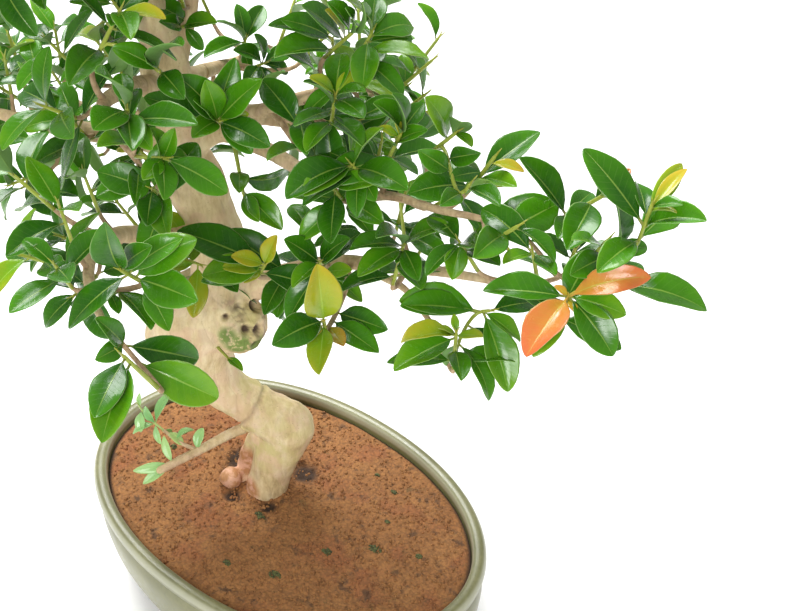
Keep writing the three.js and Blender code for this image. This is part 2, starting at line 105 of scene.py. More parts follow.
# Wood: where a bough is thinner than THIN_RADIUS it isn't part of the grown skin. GIRTH_BATCH is how many
# points of that skin are measured at a time.

TRUNK_SIDES, LIMB_SIDES, TWIG_SIDES = 32, 16, 8
WOOD_VOXEL = 2.2
THIN_RADIUS = 4.6
GIRTH_BATCH = 4000
TWIG_RADIUS = 1.9
STEM_RADIUS = 1.5
GREEN_LENGTH = 44
GAP = 0.35

# Leaves: the ranges are those that each leaf's form is drawn from.

LEAF_LENGTH = 52
LEAF_RATIO = 0.25
LEAF_BEND = 0.62
WIDTH_RANGE, BEND_RANGE = (0.88, 1.06), (0.5, 1.6)
FOLD_RANGE, TWIST_RANGE, CURL_RANGE, WAVE_RANGE = (0.14, 0.52), (-0.16, 0.16), (-0.1, 0.14), (0.0, 0.012)
PETIOLE = 0.09
STALK_END, BLADE_START = 0.11, 0.085
PAIRS = [(0, 48, 0.84), (12, 68, 1.0), (32, 82, 1.0)]
STEM_AGE = 0.56

# The pot's section, as (how far inside the rim's outline, height): under the floor, up the outside, over the
# rounded lip and down the inside. The soil's side is given in the same way, from its rim down.

POT_PROFILE = [
    (62, 10), (44, 10), (38, 11), (30, 17), (20, 32), (13, 48), (8, 62), (5, 76), (3.2, 90), (3.6, 99),
    (5.5, 106), (7.2, 110.5), (6.6, 112.6), (4.2, 114), (1.8, 115.8), (0.5, 118.4), (0, 121.5), (0.4, 125),
    (2, 128), (4.8, 129.7), (8.5, 130), (11.8, 129), (13.6, 126.6), (14.2, 123), (14.4, 118), (14.8, 108),
    (16, 90), (20, 58), (26, 36), (33, 24), (42, 20.4), (62, 20),
]
SOIL_WALL = [(14.95, SOIL_LEVEL - 2), (15.4, 100), (21.4, 50), (36.4, 20.4)]

# The trunk's middle line and radius, from below the soil to the crown: x, y, z, r. The lists after it have
# the same four values.

TRUNK = [
    (-31, 5, 116, 20.5), (-26, 12, 153, 22.5), (-17, 20, 183, 24), (-14, 23, 203, 26), (-31, 6, 221, 23.3),
    (-46, -8, 240, 21.8), (-58, -19, 257, 22.8), (-69, -29, 284, 31), (-75, -34, 312, 42),
    (-70, -29, 342, 44), (-55, -14, 374, 31), (-57, -11, 400, 25.5), (-64, -11, 436, 26),
    (-72, -15, 472, 26.5), (-77, -24, 512, 22.5), (-75, -28, 547, 20.5), (-76, -36, 589, 22),
    (-77, -36, 617, 20), (-79, -38, 645, 14), (-82, -40, 690, 12), (-90, -40, 745, 10), (-88, -30, 800, 8),
    (-80, -22, 850, 6), (-76, -20, 895, 3.6),
]
KNUCKLES = [(-90, -46, 318, 29), (-38, -14, 340, 30), (-20, 27, 197, 23), (-62, -16, 127, 12)]
OLD_ROOT = [(-58, -3, 100, 10), (-60, 4, 140, 8), (-52, 5, 165, 8), (-38, 6, 190, 9.5)]
ROOT_FLARE = [(-31, 5, 100, 21), (-31, 5, 120, 21), (-28, 9, 140, 21)]
STUB = [(-20, 16, 208, 8), (-42, -14, 204, 5.4), (-51, -58, 201, 4.4), (-60, -104, 198, 3.8)]
STUB_TWIG = [(-51, -62, 201, 2.2), (-66, -74, 212, 1.8), (-80, -79, 221, 1.6)]

# The boughs: x, y, z, r along each.

BOUGHS = {
    "fork": [
        (-74, -30, 596, 12), (-70, -19, 620, 8), (-67, -12, 646, 7), (-64, -4, 680, 6.2),
        (-52, 8, 720, 5.6), (-38, 22, 765, 4.6), (-30, 30, 805, 3),
    ],
    "right_low": [
        (-50, -8, 362, 16), (-14, 8, 386, 13), (22, 18, 410, 10), (71, 27, 438, 7), (133, 25, 462, 5.2),
        (189, 18, 488, 4), (254, 14, 511, 3.2), (308, 1, 530, 2.4),
    ],
    "right_low_side": [
        (80, 28, 442, 4.5), (125, 22, 449, 3.5), (160, 10, 459, 2.8), (208, -14, 464, 2.2),
    ],
    "right_mid": [
        (-74, -20, 520, 14), (-44, -6, 539, 10), (-1, 1, 537, 7.6), (46, 5, 530, 5.6), (92, 8, 522, 4.6),
        (148, 3, 550, 3.8), (203, 0, 562, 3.2), (244, 0, 572, 2.6), (282, 10, 570, 2.1),
    ],
    "right_up": [
        (-72, -24, 553, 12), (-46, -16, 562, 9), (-24, -12, 568, 7), (11, -11, 582, 5.6),
        (47, -8, 601, 4.6), (80, -6, 618, 3.2),
    ],
    "front_low": [
        (-60, -16, 428, 14), (-51, -50, 446, 11.5), (-32, -93, 475, 9), (-10, -149, 516, 7),
        (26, -200, 540, 5.2), (70, -236, 546, 3.8), (105, -252, 544, 2.6),
    ],
    "front_up": [
        (-76, -38, 572, 13), (-64, -64, 598, 9.5), (-45, -98, 616, 7.5), (-22, -138, 628, 5.6),
        (5, -160, 632, 4), (22, -165, 630, 2.8),
    ],
    "left": [
        (-78, -30, 518, 13), (-106, -52, 528, 10.5), (-140, -82, 534, 8.5), (-170, -106, 540, 6.6),
        (-200, -128, 548, 4.8), (-222, -146, 558, 3),
    ],
    "left_low": [
        (-65, -12, 446, 13), (-105, -6, 462, 9.5), (-160, 2, 478, 7), (-215, -8, 488, 5),
        (-270, -18, 500, 3),
    ],
    "back": [
        (-77, -28, 584, 11), (-92, 10, 572, 7.5), (-112, 52, 556, 6), (-132, 95, 540, 4.6),
        (-150, 140, 536, 3),
    ],
    "back_low": [
        (-62, 4, 538, 9), (-50, 45, 530, 7.6), (-44, 95, 508, 6.5), (-38, 146, 505, 5), (-30, 188, 515, 3),
    ],
    "right_back": [
        (-74, -22, 540, 10), (-50, 30, 536, 6.8), (-28, 66, 548, 5.2), (-4, 90, 556, 4),
        (20, 106, 560, 2.6),
    ],
    "crown_left": [
        (-88, -40, 738, 8), (-135, -32, 766, 5.6), (-185, -26, 788, 4.2), (-225, -22, 802, 2.6),
    ],
    "crown_front": [
        (-82, -42, 700, 9), (-70, -92, 738, 5.8), (-52, -135, 762, 4.4), (-34, -168, 778, 2.6),
    ],
    "crown_back": [
        (-88, -30, 796, 7), (-92, 25, 822, 5), (-100, 78, 838, 3.8), (-105, 112, 848, 2.6),
    ],
    "crown_right": [
        (-50, 10, 728, 5.6), (4, 8, 762, 4.6), (58, 4, 788, 3.6), (100, 4, 802, 2.6),
    ],
}
SHOOTS = {
    "left": 3, "left_low": 3, "back": 3, "back_low": 3, "right_back": 2,
    "crown_left": 3, "crown_front": 2, "crown_back": 2, "crown_right": 3,
}

# The leafy shoots of the near side. Each has its bough, where along it the twig leaves, the colour of its
# leaves, and its tips: x, y, z, the bearing and rise of the stem, the turn of the first pair of leaves, and
# how many pairs.

SPRAYS = [
    ("a1", "right_low", 1, "young", [(347, -25, 563, -30, 60, 135, 3)]),
    ("a2", "right_mid", 1, "fresh", [(347, 17, 590, 15, 60, 75, 2), (378, 21, 631, -15, 75, 15, 3)]),
    ("a3", "right_mid", 0.97, "green", [(324, 42, 607, 0, 45, 105, 3)]),
    ("a4", "right_mid", 0.76, "green", [(234, 26, 610, 10, 60, 30, 3)]),
    ("a5", "right_mid", 0.88, "green", [(290, -14, 592, 15, 45, 75, 2)]),
    ("a8", "right_low", 0.9, "green", [(308, 34, 555, -40, 60, 165, 3)]),
    ("b1", "right_low", 0.43, "young", [(171, -97, 492, -45, 45, 0, 3)]),
    ("b2", "right_low", 0.36, "green", [(120, -50, 500, -45, 45, 45, 3)]),
    ("b3", "right_low", 0.28, "fresh", [(75, -70, 486, -30, 45, 165, 3)]),
    ("b4", "right_low", 0.6, "green", [(178, -14, 524, 0, 75, 150, 3)]),
    ("b5", "right_low_side", 1, "fresh", [(262, -46, 498, -45, 75, 0, 3), (256, 0, 492, 0, 30, 150, 1)]),
    ("c1", "right_up", 0.9, "fresh", [(120, -28, 640, -15, 75, 135, 2)]),
    ("c2", "right_up", 1, "fresh", [(110, 2, 680, 0, 45, 165, 3), (80, 10, 662, -45, 45, 0, 1)]),
    ("c4", "right_mid", 0.6, "fresh", [(173, -12, 622, -15, 60, 0, 3)]),
    ("c5", "right_mid", 0.7, "green", [(209, 10, 628, -15, 45, 75, 2), (246, -16, 610, 15, 60, 90, 1)]),
    ("c7", "right_mid", 0.5, "green", [(136, -50, 578, -60, 45, 15, 2)]),
    ("c8", "right_up", 0.66, "green", [(88, -36, 612, -45, 60, 30, 3)]),
    ("d1", "front_up", 0.7, "green", [(60, -95, 624, -25, 30, 150, 3)]),
    ("d2", "front_up", 1, "green", [(68, -168, 600, -60, 45, 75, 3)]),
    ("d3", "front_up", 0.86, "green", [(62, -178, 669, -45, 75, 15, 3)]),
    ("d4", "front_up", 0.6, "green", [(8, -136, 712, 45, 60, 165, 3), (38, -128, 672, -60, 45, 150, 1)]),
    ("e1", "front_low", 0.84, "green", [(134, -250, 600, -60, 45, 135, 3)]),
    ("e2", "front_low", 1, "green", [(170, -282, 563, -100, 60, 135, 3)]),
    ("f1", "right_up", 0.4, "green", [(12, -34, 512, -15, -75, 90, 2)]),
    ("top_1", "trunk", 1, "fresh", [(-60, -20, 985, 0, 75, 30, 2)]),
    ("top_2", "trunk", 0.97, "green", [(-130, -50, 935, 200, 55, 80, 2)]),
    ("top_3", "fork", 1, "green", [(0, 40, 880, 30, 65, 10, 2)]),
    ("top_4", "trunk", 0.88, "green", [(-158, 22, 850, 150, 50, 40, 2)]),
    ("e3", "front_low", 0.55, "green", [(-78, -196, 566, 215, 45, 60, 3)]),
]
SPROUT_TIP = (-107, -86, 242)

# Leaves that the photograph shows, by the shoot that bears them: the pixel of the leaf's base, which picks
# the place on the shoot's stems nearest to it, the pixel of its tip, its age, its size and, where it isn't 1,
# its width. The leaf runs from its stem to the line of sight through its tip.

SEEN_LEAVES = {
    "a1": [
        (570, 298, 526, 357, 0.07, 1.15), (574, 294, 651, 277, 0.09, 1.15, 0.85),
        (574, 299, 613, 356, 0.88, 1), (578, 298, 626, 315, 0.72, 0.8), (562, 292, 483, 291, 0.86, 1.15),
        (572, 300, 576, 313, 0.25, 0.28), (562, 292, 554, 286, 0.22, 0.25),
    ],
    "a2": [
        (646, 218, 682, 164, 0.54, 1, 0.62), (650, 213, 687, 169, 0.36, 0.9, 0.5),
        (654, 213, 677, 213, 0.5, 0.45, 0.8), (640, 228, 707, 221, 0.82, 1),
        (632, 222, 583, 149, 0.93, 1.2, 0.9), (637, 216, 637, 183, 0.93, 0.7),
        (612, 252, 614, 198, 0.98, 1), (660, 212, 683, 205, 0.86, 0.5), (607, 256, 647, 247, 0.86, 0.7),
        (606, 255, 570, 275, 0.88, 0.85), (606, 250, 572, 240, 0.8, 0.75),
    ],
    "a3": [
        (574, 217, 519, 158, 0.94, 1.2), (601, 200, 600, 165, 0.66, 0.8), (576, 225, 591, 193, 0.9, 0.75),
        (574, 222, 558, 239, 0.86, 0.6), (605, 190, 631, 169, 0.14, 0.5), (606, 192, 632, 181, 0.16, 0.45),
        (556, 240, 540, 226, 0.8, 0.45),
    ],
    "a4": [
        (479, 181, 540, 132, 0.9, 1.2), (482, 180, 517, 187, 0.7, 0.8), (468, 200, 494, 184, 0.66, 0.75),
        (478, 193, 508, 184, 0.42, 0.6), (500, 170, 524, 172, 0.34, 0.4), (476, 167, 450, 178, 0.95, 0.65),
        (470, 186, 408, 194, 0.92, 1.1),
    ],
    "a5": [
        (497, 205, 551, 199, 0.9, 0.95),
    ],
    "a8": [
        (567, 257, 531, 241, 0.9, 0.8), (556, 272, 511, 259, 0.86, 0.9), (560, 262, 568, 281, 0.75, 0.6),
    ],
    "b1": [
        (325, 319, 317, 264, 0.42, 1.1, 1.25), (324, 324, 319, 375, 0.5, 0.95),
        (322, 325, 292, 344, 0.31, 0.72), (327, 325, 344, 346, 0.26, 0.58), (322, 322, 277, 342, 0.6, 0.95),
        (322, 318, 272, 345, 0.94, 1.05), (322, 332, 311, 358, 0.92, 0.6), (334, 322, 379, 353, 0.84, 1),
        (336, 310, 388, 330, 0.93, 1.05),
    ],
    "b2": [
        (318, 264, 284, 239, 0.92, 0.8), (320, 264, 350, 238, 0.93, 0.85), (332, 272, 350, 281, 0.95, 0.5),
        (330, 290, 352, 270, 0.62, 0.6), (345, 280, 362, 302, 0.74, 0.6),
    ],
    "b3": [
        (263, 264, 231, 256, 0.42, 0.6), (264, 268, 222, 268, 0.52, 0.8), (262, 262, 277, 235, 0.4, 0.62),
        (262, 270, 244, 283, 0.44, 0.45), (266, 268, 202, 276, 0.7, 1.1), (286, 267, 224, 231, 0.93, 1.2),
        (262, 250, 177, 231, 0.94, 1.35), (289, 275, 264, 315, 0.93, 0.9), (301, 280, 277, 318, 0.84, 0.85),
    ],
    "b4": [
        (404, 247, 350, 250, 0.88, 1), (404, 248, 358, 277, 0.76, 1), (404, 251, 396, 263, 0.95, 0.35),
        (410, 247, 450, 226, 0.78, 0.95), (409, 250, 419, 281, 0.87, 0.75), (420, 222, 376, 238, 0.92, 1),
    ],
    "b5": [
        (455, 335, 401, 343, 0.44, 1), (456, 336, 436, 328, 0.5, 0.4), (457, 336, 483, 337, 0.5, 0.55),
        (458, 330, 454, 314, 0.58, 0.3), (450, 337, 394, 371, 0.73, 1.1), (462, 346, 446, 366, 0.92, 0.55),
        (462, 350, 461, 381, 0.82, 0.75), (471, 326, 507, 372, 0.88, 1.05),
        (474, 350, 489, 401, 0.82, 0.95), (484, 322, 508, 392, 0.72, 1.05), (480, 313, 400, 306, 0.84, 1.2),
        (480, 304, 399, 301, 0.78, 1.2), (490, 311, 538, 303, 0.95, 0.9), (484, 320, 520, 342, 0.68, 0.75),
    ],
    "c1": [
        (337, 95, 309, 77, 0.52, 0.6), (341, 95, 356, 71, 0.5, 0.55), (333, 86, 341, 54, 0.78, 0.9),
        (336, 100, 364, 118, 0.86, 0.8), (326, 105, 303, 82, 0.93, 0.75), (342, 96, 366, 92, 0.8, 0.6),
        (337, 111, 294, 126, 0.85, 0.85), (330, 118, 362, 146, 0.82, 0.95), (325, 121, 306, 152, 0.76, 0.8),
        (341, 115, 359, 132, 0.96, 0.55),
    ],
    "c2": [
        (343, 37, 325, 10, 0.42, 0.7), (342, 38, 302, 6, 0.86, 1.05), (345, 32, 327, 2, 0.85, 0.85),
        (349, 34, 345, 8, 0.86, 0.65), (352, 27, 362, 2, 0.8, 0.7), (333, 52, 274, 58, 0.82, 1.15),
        (322, 80, 279, 50, 0.86, 1), (325, 30, 281, 20, 0.9, 0.95), (330, 35, 268, 26, 0.93, 1.1),
    ],
    "c4": [
        (405, 135, 420, 112, 0.43, 0.5), (399, 135, 394, 119, 0.4, 0.34), (394, 136, 379, 127, 0.5, 0.36),
        (403, 134, 392, 94, 0.86, 0.85), (398, 135, 373, 103, 0.84, 0.85), (405, 150, 428, 130, 0.84, 0.65),
        (402, 150, 383, 137, 0.72, 0.55), (404, 128, 424, 103, 0.9, 0.6),
    ],
    "c5": [
        (452, 147, 425, 97, 0.66, 1), (460, 148, 461, 122, 0.9, 0.7), (459, 138, 472, 147, 0.7, 0.45),
        (450, 172, 418, 150, 0.84, 0.75), (448, 158, 481, 153, 0.92, 0.75), (470, 190, 500, 206, 0.9, 0.75),
        (462, 196, 440, 206, 0.86, 0.7),
    ],
    "c7": [
        (337, 221, 300, 240, 0.78, 0.9), (342, 217, 384, 224, 0.8, 0.9), (343, 222, 372, 236, 0.86, 0.7),
        (340, 205, 294, 198, 0.78, 0.8),
    ],
    "c8": [
        (296, 112, 307, 155, 0.9, 0.85), (301, 148, 267, 161, 0.7, 0.85),
    ],
    "d1": [
        (223, 122, 177, 76, 0.93, 1.05), (225, 120, 205, 80, 0.74, 0.85), (228, 121, 263, 79, 0.8, 1),
        (225, 122, 249, 114, 0.54, 0.48), (228, 124, 270, 147, 0.94, 0.95), (225, 128, 252, 154, 0.88, 0.7),
        (221, 124, 193, 100, 0.85, 0.75), (222, 127, 192, 138, 0.76, 0.7),
    ],
    "d2": [
        (139, 162, 135, 205, 0.88, 0.85), (154, 198, 168, 238, 0.74, 0.85),
        (149, 190, 147, 226, 0.97, 0.75), (140, 180, 96, 197, 0.85, 0.8),
    ],
    "d3": [
        (130, 104, 95, 72, 0.86, 1.05), (133, 109, 93, 130, 0.86, 1), (135, 110, 132, 151, 0.88, 1),
        (152, 117, 198, 124, 0.9, 1.05), (152, 116, 134, 90, 0.88, 0.75), (136, 88, 121, 74, 0.86, 0.6),
        (133, 150, 97, 147, 0.72, 0.8), (140, 118, 152, 150, 0.76, 0.7),
    ],
    "d4": [
        (147, 84, 183, 46, 0.88, 1.05), (128, 2, 131, 40, 0.76, 0.9), (128, 38, 107, 75, 0.78, 1),
        (130, 40, 121, 78, 0.94, 0.9), (98, 6, 111, 26, 0.86, 0.6), (137, 2, 166, 19, 0.42, 0.7),
        (136, 88, 147, 63, 0.9, 0.6),
    ],
    "e1": [
        (116, 275, 105, 222, 0.92, 1.05), (118, 273, 152, 246, 0.93, 0.75), (137, 274, 197, 239, 0.76, 1.1),
        (138, 272, 198, 301, 0.82, 1.05), (118, 285, 151, 330, 0.86, 0.95), (150, 292, 169, 331, 0.8, 0.75),
        (110, 295, 119, 314, 0.84, 0.4), (112, 282, 95, 300, 0.84, 0.6),
    ],
    "e2": [
        (127, 341, 198, 359, 0.93, 1.15), (141, 360, 218, 398, 0.68, 1.2), (129, 365, 102, 443, 0.74, 1.2),
        (122, 361, 95, 418, 0.92, 1), (112, 343, 95, 360, 0.85, 0.6), (125, 347, 95, 318, 0.88, 0.8),
    ],
    "sprout": [
        (166, 416, 171, 393, 0.8, 0.42, 0.85), (163, 416, 145, 406, 0.85, 0.4),
        (141, 407, 140, 393, 0.5, 0.26), (142, 410, 141, 432, 0.6, 0.4, 1.1),
        (157, 430, 133, 434, 0.65, 0.45, 1.1), (167, 419, 170, 434, 0.8, 0.34, 1.3),
        (168, 430, 183, 445, 0.3, 0.38, 1.2), (180, 432, 194, 430, 0.75, 0.25, 1.2),
        (197, 443, 203, 428, 0.6, 0.28, 1.1), (160, 425, 161, 444, 0.6, 0.34, 0.8),
        (170, 458, 133, 471, 0.55, 0.7, 0.62), (168, 460, 143, 484, 0.55, 0.6, 0.62),
        (172, 456, 164, 436, 0.45, 0.4, 0.7),
    ],
    "f1": [
        (243, 193, 259, 222, 0.76, 0.7), (250, 190, 282, 230, 0.74, 0.95), (262, 168, 239, 193, 0.74, 0.7),
    ],
}

# More shoots that the photograph shows behind these: the bough that each springs from, the pixel of its tip,
# how far from the camera it is, and its leaves.

SEEN_SHOOTS = {
    "a6": ("right_low", (616, 286), 1098, [
        (622, 288, 707, 311, 0.82, 1.25), (612, 288, 640, 264, 0.9, 0.7),
    ]),
    "a9": ("right_low", (533, 254), 1085, [
        (531, 254, 482, 209, 0.93, 1.05), (531, 253, 503, 264, 0.68, 0.6), (533, 256, 556, 275, 0.82, 0.6),
    ]),
    "b6": ("right_low", (461, 244), 1135, [
        (443, 250, 426, 276, 0.88, 0.75), (450, 250, 452, 280, 0.72, 0.7), (468, 246, 518, 236, 0.76, 1),
        (466, 250, 500, 266, 0.94, 0.85), (455, 214, 479, 247, 0.94, 0.85), (456, 240, 432, 214, 0.9, 0.9),
    ]),
    "b7": ("front_low", (198, 264), 1285, [
        (193, 268, 165, 270, 0.5, 0.5), (200, 269, 193, 318, 0.44, 0.9),
    ]),
    "c3": ("right_up", (371, 34), 1160, [
        (372, 31, 342, -2, 0.6, 0.95), (371, 28, 375, -8, 0.78, 0.85), (369, 39, 413, 27, 0.78, 0.95),
        (372, 45, 412, 38, 0.84, 0.85), (372, 58, 429, 60, 0.66, 1.05), (366, 40, 362, 92, 0.76, 0.95),
        (374, 66, 403, 97, 0.85, 0.75),
    ]),
    "c9": ("right_mid", (353, 166), 1140, [
        (350, 163, 286, 199, 0.94, 1.2), (352, 168, 304, 196, 0.74, 1), (352, 176, 303, 206, 0.98, 1),
        (352, 172, 408, 190, 0.86, 1.05), (353, 182, 376, 201, 0.88, 0.65), (352, 180, 357, 217, 0.9, 0.75),
        (357, 158, 322, 153, 0.92, 0.8), (357, 162, 384, 128, 0.68, 0.85),
    ]),
    "d6": ("front_up", (163, 158), 1105, [
        (172, 173, 227, 193, 0.82, 1.05), (162, 160, 164, 200, 0.84, 0.8), (165, 155, 189, 160, 0.8, 0.5),
        (163, 157, 143, 180, 0.76, 0.6), (160, 157, 150, 128, 0.75, 0.6), (166, 157, 175, 128, 0.75, 0.6),
    ]),
    "sprig": ("trunk", (227, 357), 1372, [
        (228, 358, 243, 371, 0.7, 0.45, 0.9),
    ]),
    "d8": ("fork", (181, 27), 1265, [
        (183, 27, 217, 23, 0.72, 0.85), (186, 34, 203, 50, 0.82, 0.45), (183, 14, 151, 2, 0.85, 0.8),
        (178, 42, 159, 22, 0.88, 0.7),
    ]),
    "back_1": ("back", (245, 42), 1415, [
        (240, 40, 204, 58, 0.84, 1), (246, 38, 216, 22, 0.86, 0.9), (240, 27, 237, 4, 0.9, 0.7),
        (250, 48, 270, 53, 0.95, 0.6), (255, 55, 250, 74, 0.9, 0.5), (255, 30, 263, 6, 0.88, 0.8),
    ]),
    "back_2": ("right_back", (268, 100), 1345, [
        (262, 108, 258, 118, 0.7, 0.4), (270, 98, 279, 90, 0.5, 0.3), (268, 100, 285, 72, 0.84, 0.8),
    ]),
    "back_3": ("back", (262, 64), 1400, [
        (262, 60, 233, 50, 0.9, 0.75), (261, 58, 254, 34, 0.95, 0.7), (265, 60, 289, 52, 0.88, 0.75),
        (265, 66, 288, 72, 0.95, 0.7), (260, 68, 244, 90, 0.9, 0.75), (262, 70, 268, 92, 0.96, 0.65),
    ]),
}

# Where the photograph shows no leaves: outlines in its pixels. The first two lie outside the crown, the
# others are gaps in it and bare wood.

CLEAR_OUTLINES = [
    [
        (415, -400), (432, 45), (430, 90), (462, 98), (462, 122), (492, 145), (515, 122), (544, 130),
        (577, 168), (580, 145), (640, 148), (690, 160), (712, 200), (1300, 200), (1300, -400),
    ],
    [
        (1300, 318), (708, 318), (660, 312), (630, 325), (622, 358), (598, 358), (575, 335), (545, 362),
        (518, 355), (516, 395), (485, 405), (452, 380), (392, 373), (384, 355), (338, 378), (300, 350),
        (262, 318), (205, 285), (205, 362), (222, 400), (185, 402), (140, 375), (130, 445), (-300, 445),
        (-300, 900), (1300, 900),
    ],
    [
        (213, 148), (232, 148), (250, 156), (262, 165), (291, 164), (291, 181), (287, 200), (300, 225),
        (292, 232), (262, 232), (247, 228), (233, 214), (232, 192), (222, 168),
    ],
    [(126, 38), (150, 32), (158, 44), (150, 64), (128, 62)],
    [
        (172, 128), (196, 138), (212, 150), (236, 200), (236, 215), (190, 226), (172, 205), (176, 170),
        (165, 145),
    ],
    [(193, 0), (234, 0), (232, 10), (222, 18), (198, 14)],
    [(191, 30), (214, 26), (223, 32), (220, 38), (204, 44), (191, 38)],
    [(205, 62), (218, 53), (229, 60), (229, 68), (212, 70)],
    [(226, 84), (234, 70), (247, 62), (249, 75), (240, 88)],
    [(242, -60), (300, -60), (300, 4), (282, 10), (262, 8), (245, 10)],
    [(262, 33), (272, 30), (285, 37), (279, 42)],
    [(276, 112), (292, 110), (297, 147), (272, 148), (270, 135), (284, 128)],
    [(317, 127), (325, 126), (342, 141), (322, 150), (309, 155), (314, 140)],
    [(388, 200), (402, 203), (384, 208), (355, 210)],
    [
        (517, 165), (524, 164), (540, 175), (560, 200), (557, 236), (540, 222), (527, 215), (552, 200),
        (518, 187),
    ],
    [(577, 233), (603, 222), (603, 240), (576, 240)],
    [(628, 245), (640, 232), (705, 238), (706, 276), (655, 277), (640, 258)],
    [(467, 293), (480, 291), (500, 294), (540, 300), (500, 302), (480, 300)],
    [
        (384, 286), (398, 292), (398, 306), (420, 318), (455, 315), (480, 318), (450, 330), (405, 328),
        (388, 340),
    ],
    [(335, 285), (346, 282), (350, 300), (338, 312)],
    [(150, 300), (200, 296), (215, 320), (215, 350), (196, 352), (160, 338), (140, 328)],
]

# The shoots that fill the boughs out: how far apart they stand, where along a bough they begin, how long they
# are, and how near each other two leaves and two shoots may lie. SIGHT_ROOM is how near, in pixels, a leaf of
# theirs may come to a leaf that the photograph shows, if it stands in front of it.

FILL_SPACING = 26
FILL_START = 0.26
FILL_REACH = (34, 84)
LEAF_ROOM = 13
HUB_ROOM = 24
SIGHT_ROOM = 15

# How long a stretch of a near shoot may stay without leaves, and how far inside the frame's box the filling
# leaves stay.

BARE_LENGTH = 10
BOX_MARGIN = 6

# How old a leaf looks, by the colour of its shoot: the range for the tip pair, and for the pairs below it.
# 0 is an orange-red new leaf, 0.3 yellow, 0.5 yellow-green and 1 the darkest green.

AGES = {
    "green": ((0.7, 0.95), (0.8, 1.0)),
    "fresh": ((0.46, 0.66), (0.72, 0.98)),
    "young": ((0.12, 0.4), (0.55, 0.9)),
    "sprout": ((0.55, 0.75), (0.6, 0.8)),
}


# Vectors, lines and random draws


def make_random(seed):
    """Repeatable draws from 0 to 1."""
    mask = 0xFFFFFFFF
    state = seed & mask

    def draw():
        nonlocal state
        state = (state + 0x6D2B79F5) & mask
        t = state
        t = ((t ^ (t >> 15)) * (t | 1)) & mask
        t ^= (t + ((t ^ (t >> 7)) * (t | 61))) & mask
        return ((t ^ (t >> 14)) & mask) / 4294967296

    return draw


def vec(*values):
    return np.array(values, float)


UP = vec(0, 0, 1)


def unit(v):
    return v / np.linalg.norm(v)


def heading(bearing, rise):
    b, r = math.radians(bearing), math.radians(rise)
    return vec(math.cos(r) * math.cos(b), math.cos(r) * math.sin(b), math.sin(r))


def to_frame(points):
    return np.asarray(points, float) * MM + PLAN_ORIGIN


class Line:
    """A smooth line through x, y, z, r points; share runs from 0 to 1 along it."""

    def __init__(self, points):
        self.at = np.array(points, float)
        self.last = len(points) - 1

    def point(self, share):
        k = min(int(share * self.last), self.last - 1)
        w = share * self.last - k
        at = self.at[:, :3]
        before = at[k - 1] if k > 0 else 2 * at[0] - at[1]
        after = at[k + 2] if k + 2 <= self.last else 2 * at[-1] - at[-2]
        leave, reach = (at[k + 1] - before) / 2, (after - at[k]) / 2
        step = at[k + 1] - at[k]
        return at[k] + leave * w + (3 * step - 2 * leave - reach) * w**2 + (leave + reach - 2 * step) * w**3

    def tangent(self, share):
        return unit(self.point(min(share + 1e-4, 1)) - self.point(max(share - 1e-4, 0)))

    def radius(self, share):
        return float(np.interp(share * self.last, range(self.last + 1), self.at[:, 3]))


class Twig(Line):
    """A curved twig from a start, along lead, to a tip that points along axis."""

    def __init__(self, start, lead, tip, axis, start_radius, end_radius):
        reach = 0.36 * np.linalg.norm(tip - start)
        self.hull = [start, start + lead * reach, tip - axis * reach, tip]
        self.ends = (start_radius, end_radius)
        self.length = np.linalg.norm(tip - start)

    def point(self, share):
        a, b, c, d = self.hull
        rest = 1 - share
        return a * rest**3 + 3 * b * share * rest**2 + 3 * c * rest * share**2 + d * share**3

    def radius(self, share):
        return self.ends[0] + (self.ends[1] - self.ends[0]) * share


class Straight(Twig):
    """A straight stem between two points."""

    def __init__(self, start, end, start_radius, end_radius):
        self.start, self.way = start, end - start
        self.ends = (start_radius, end_radius)

    def point(self, share):
        return self.start + self.way * share


# Meshes


class Shape:
    """Points and faces gathered for one piece, with the values that its material reads at each point. Values
    that aren't given are 0."""

    def __init__(self, *value_names):
        self.names = value_names
        self.points, self.faces, self.values = [], [], []
        self.count = 0

    def add(self, points, faces, *values):
        points = np.asarray(points, float)
        self.points.append(points)
        self.faces.extend(np.asarray(f) + self.count for f in faces)
        row = [*values, *[0] * (len(self.names) - len(values))]
        self.values.append(np.stack([np.broadcast_to(v, len(points)) for v in row], 1) if row else None)
        self.count += len(points)

    def mesh(self, name):
        sizes = np.concatenate([np.full(len(f), f.shape[1]) for f in self.faces])
        corners = np.concatenate([f.ravel() for f in self.faces])
        mesh = bpy.data.meshes.new(name)
        mesh.vertices.add(self.count)
        mesh.vertices.foreach_set("co", to_frame(np.concatenate(self.points)).astype(np.float32).ravel())
        mesh.loops.add(len(corners))
        mesh.loops.foreach_set("vertex_index", corners.astype(np.int32))
        mesh.polygons.add(len(sizes))
        mesh.polygons.foreach_set("loop_start", np.concatenate([[0], np.cumsum(sizes)[:-1]]).astype(np.int32))
        mesh.update(calc_edges=True)
        mesh.polygons.foreach_set("use_smooth", np.ones(len(sizes), bool))
        if self.names:
            values = np.concatenate(self.values).astype(np.float32)
            for k, value_name in enumerate(self.names):
                store(mesh, value_name, values[:, k])
        return mesh


def store(mesh, name, values):
    """Keeps one value a point on the mesh, for its material."""
    layer = mesh.attributes.get(name) or mesh.attributes.new(name, "FLOAT", "POINT")
    layer.data.foreach_set("value", np.ascontiguousarray(values, np.float32))


def add_piece(name, mesh, material, slot, *replaced):
    piece = bpy.data.objects.new(name, mesh)
    bpy.context.scene.collection.objects.link(piece)
    mesh.materials.clear()
    mesh.materials.append(material)
    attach(piece, BODY)
    if replaced:
        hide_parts(*replaced)
    return piece


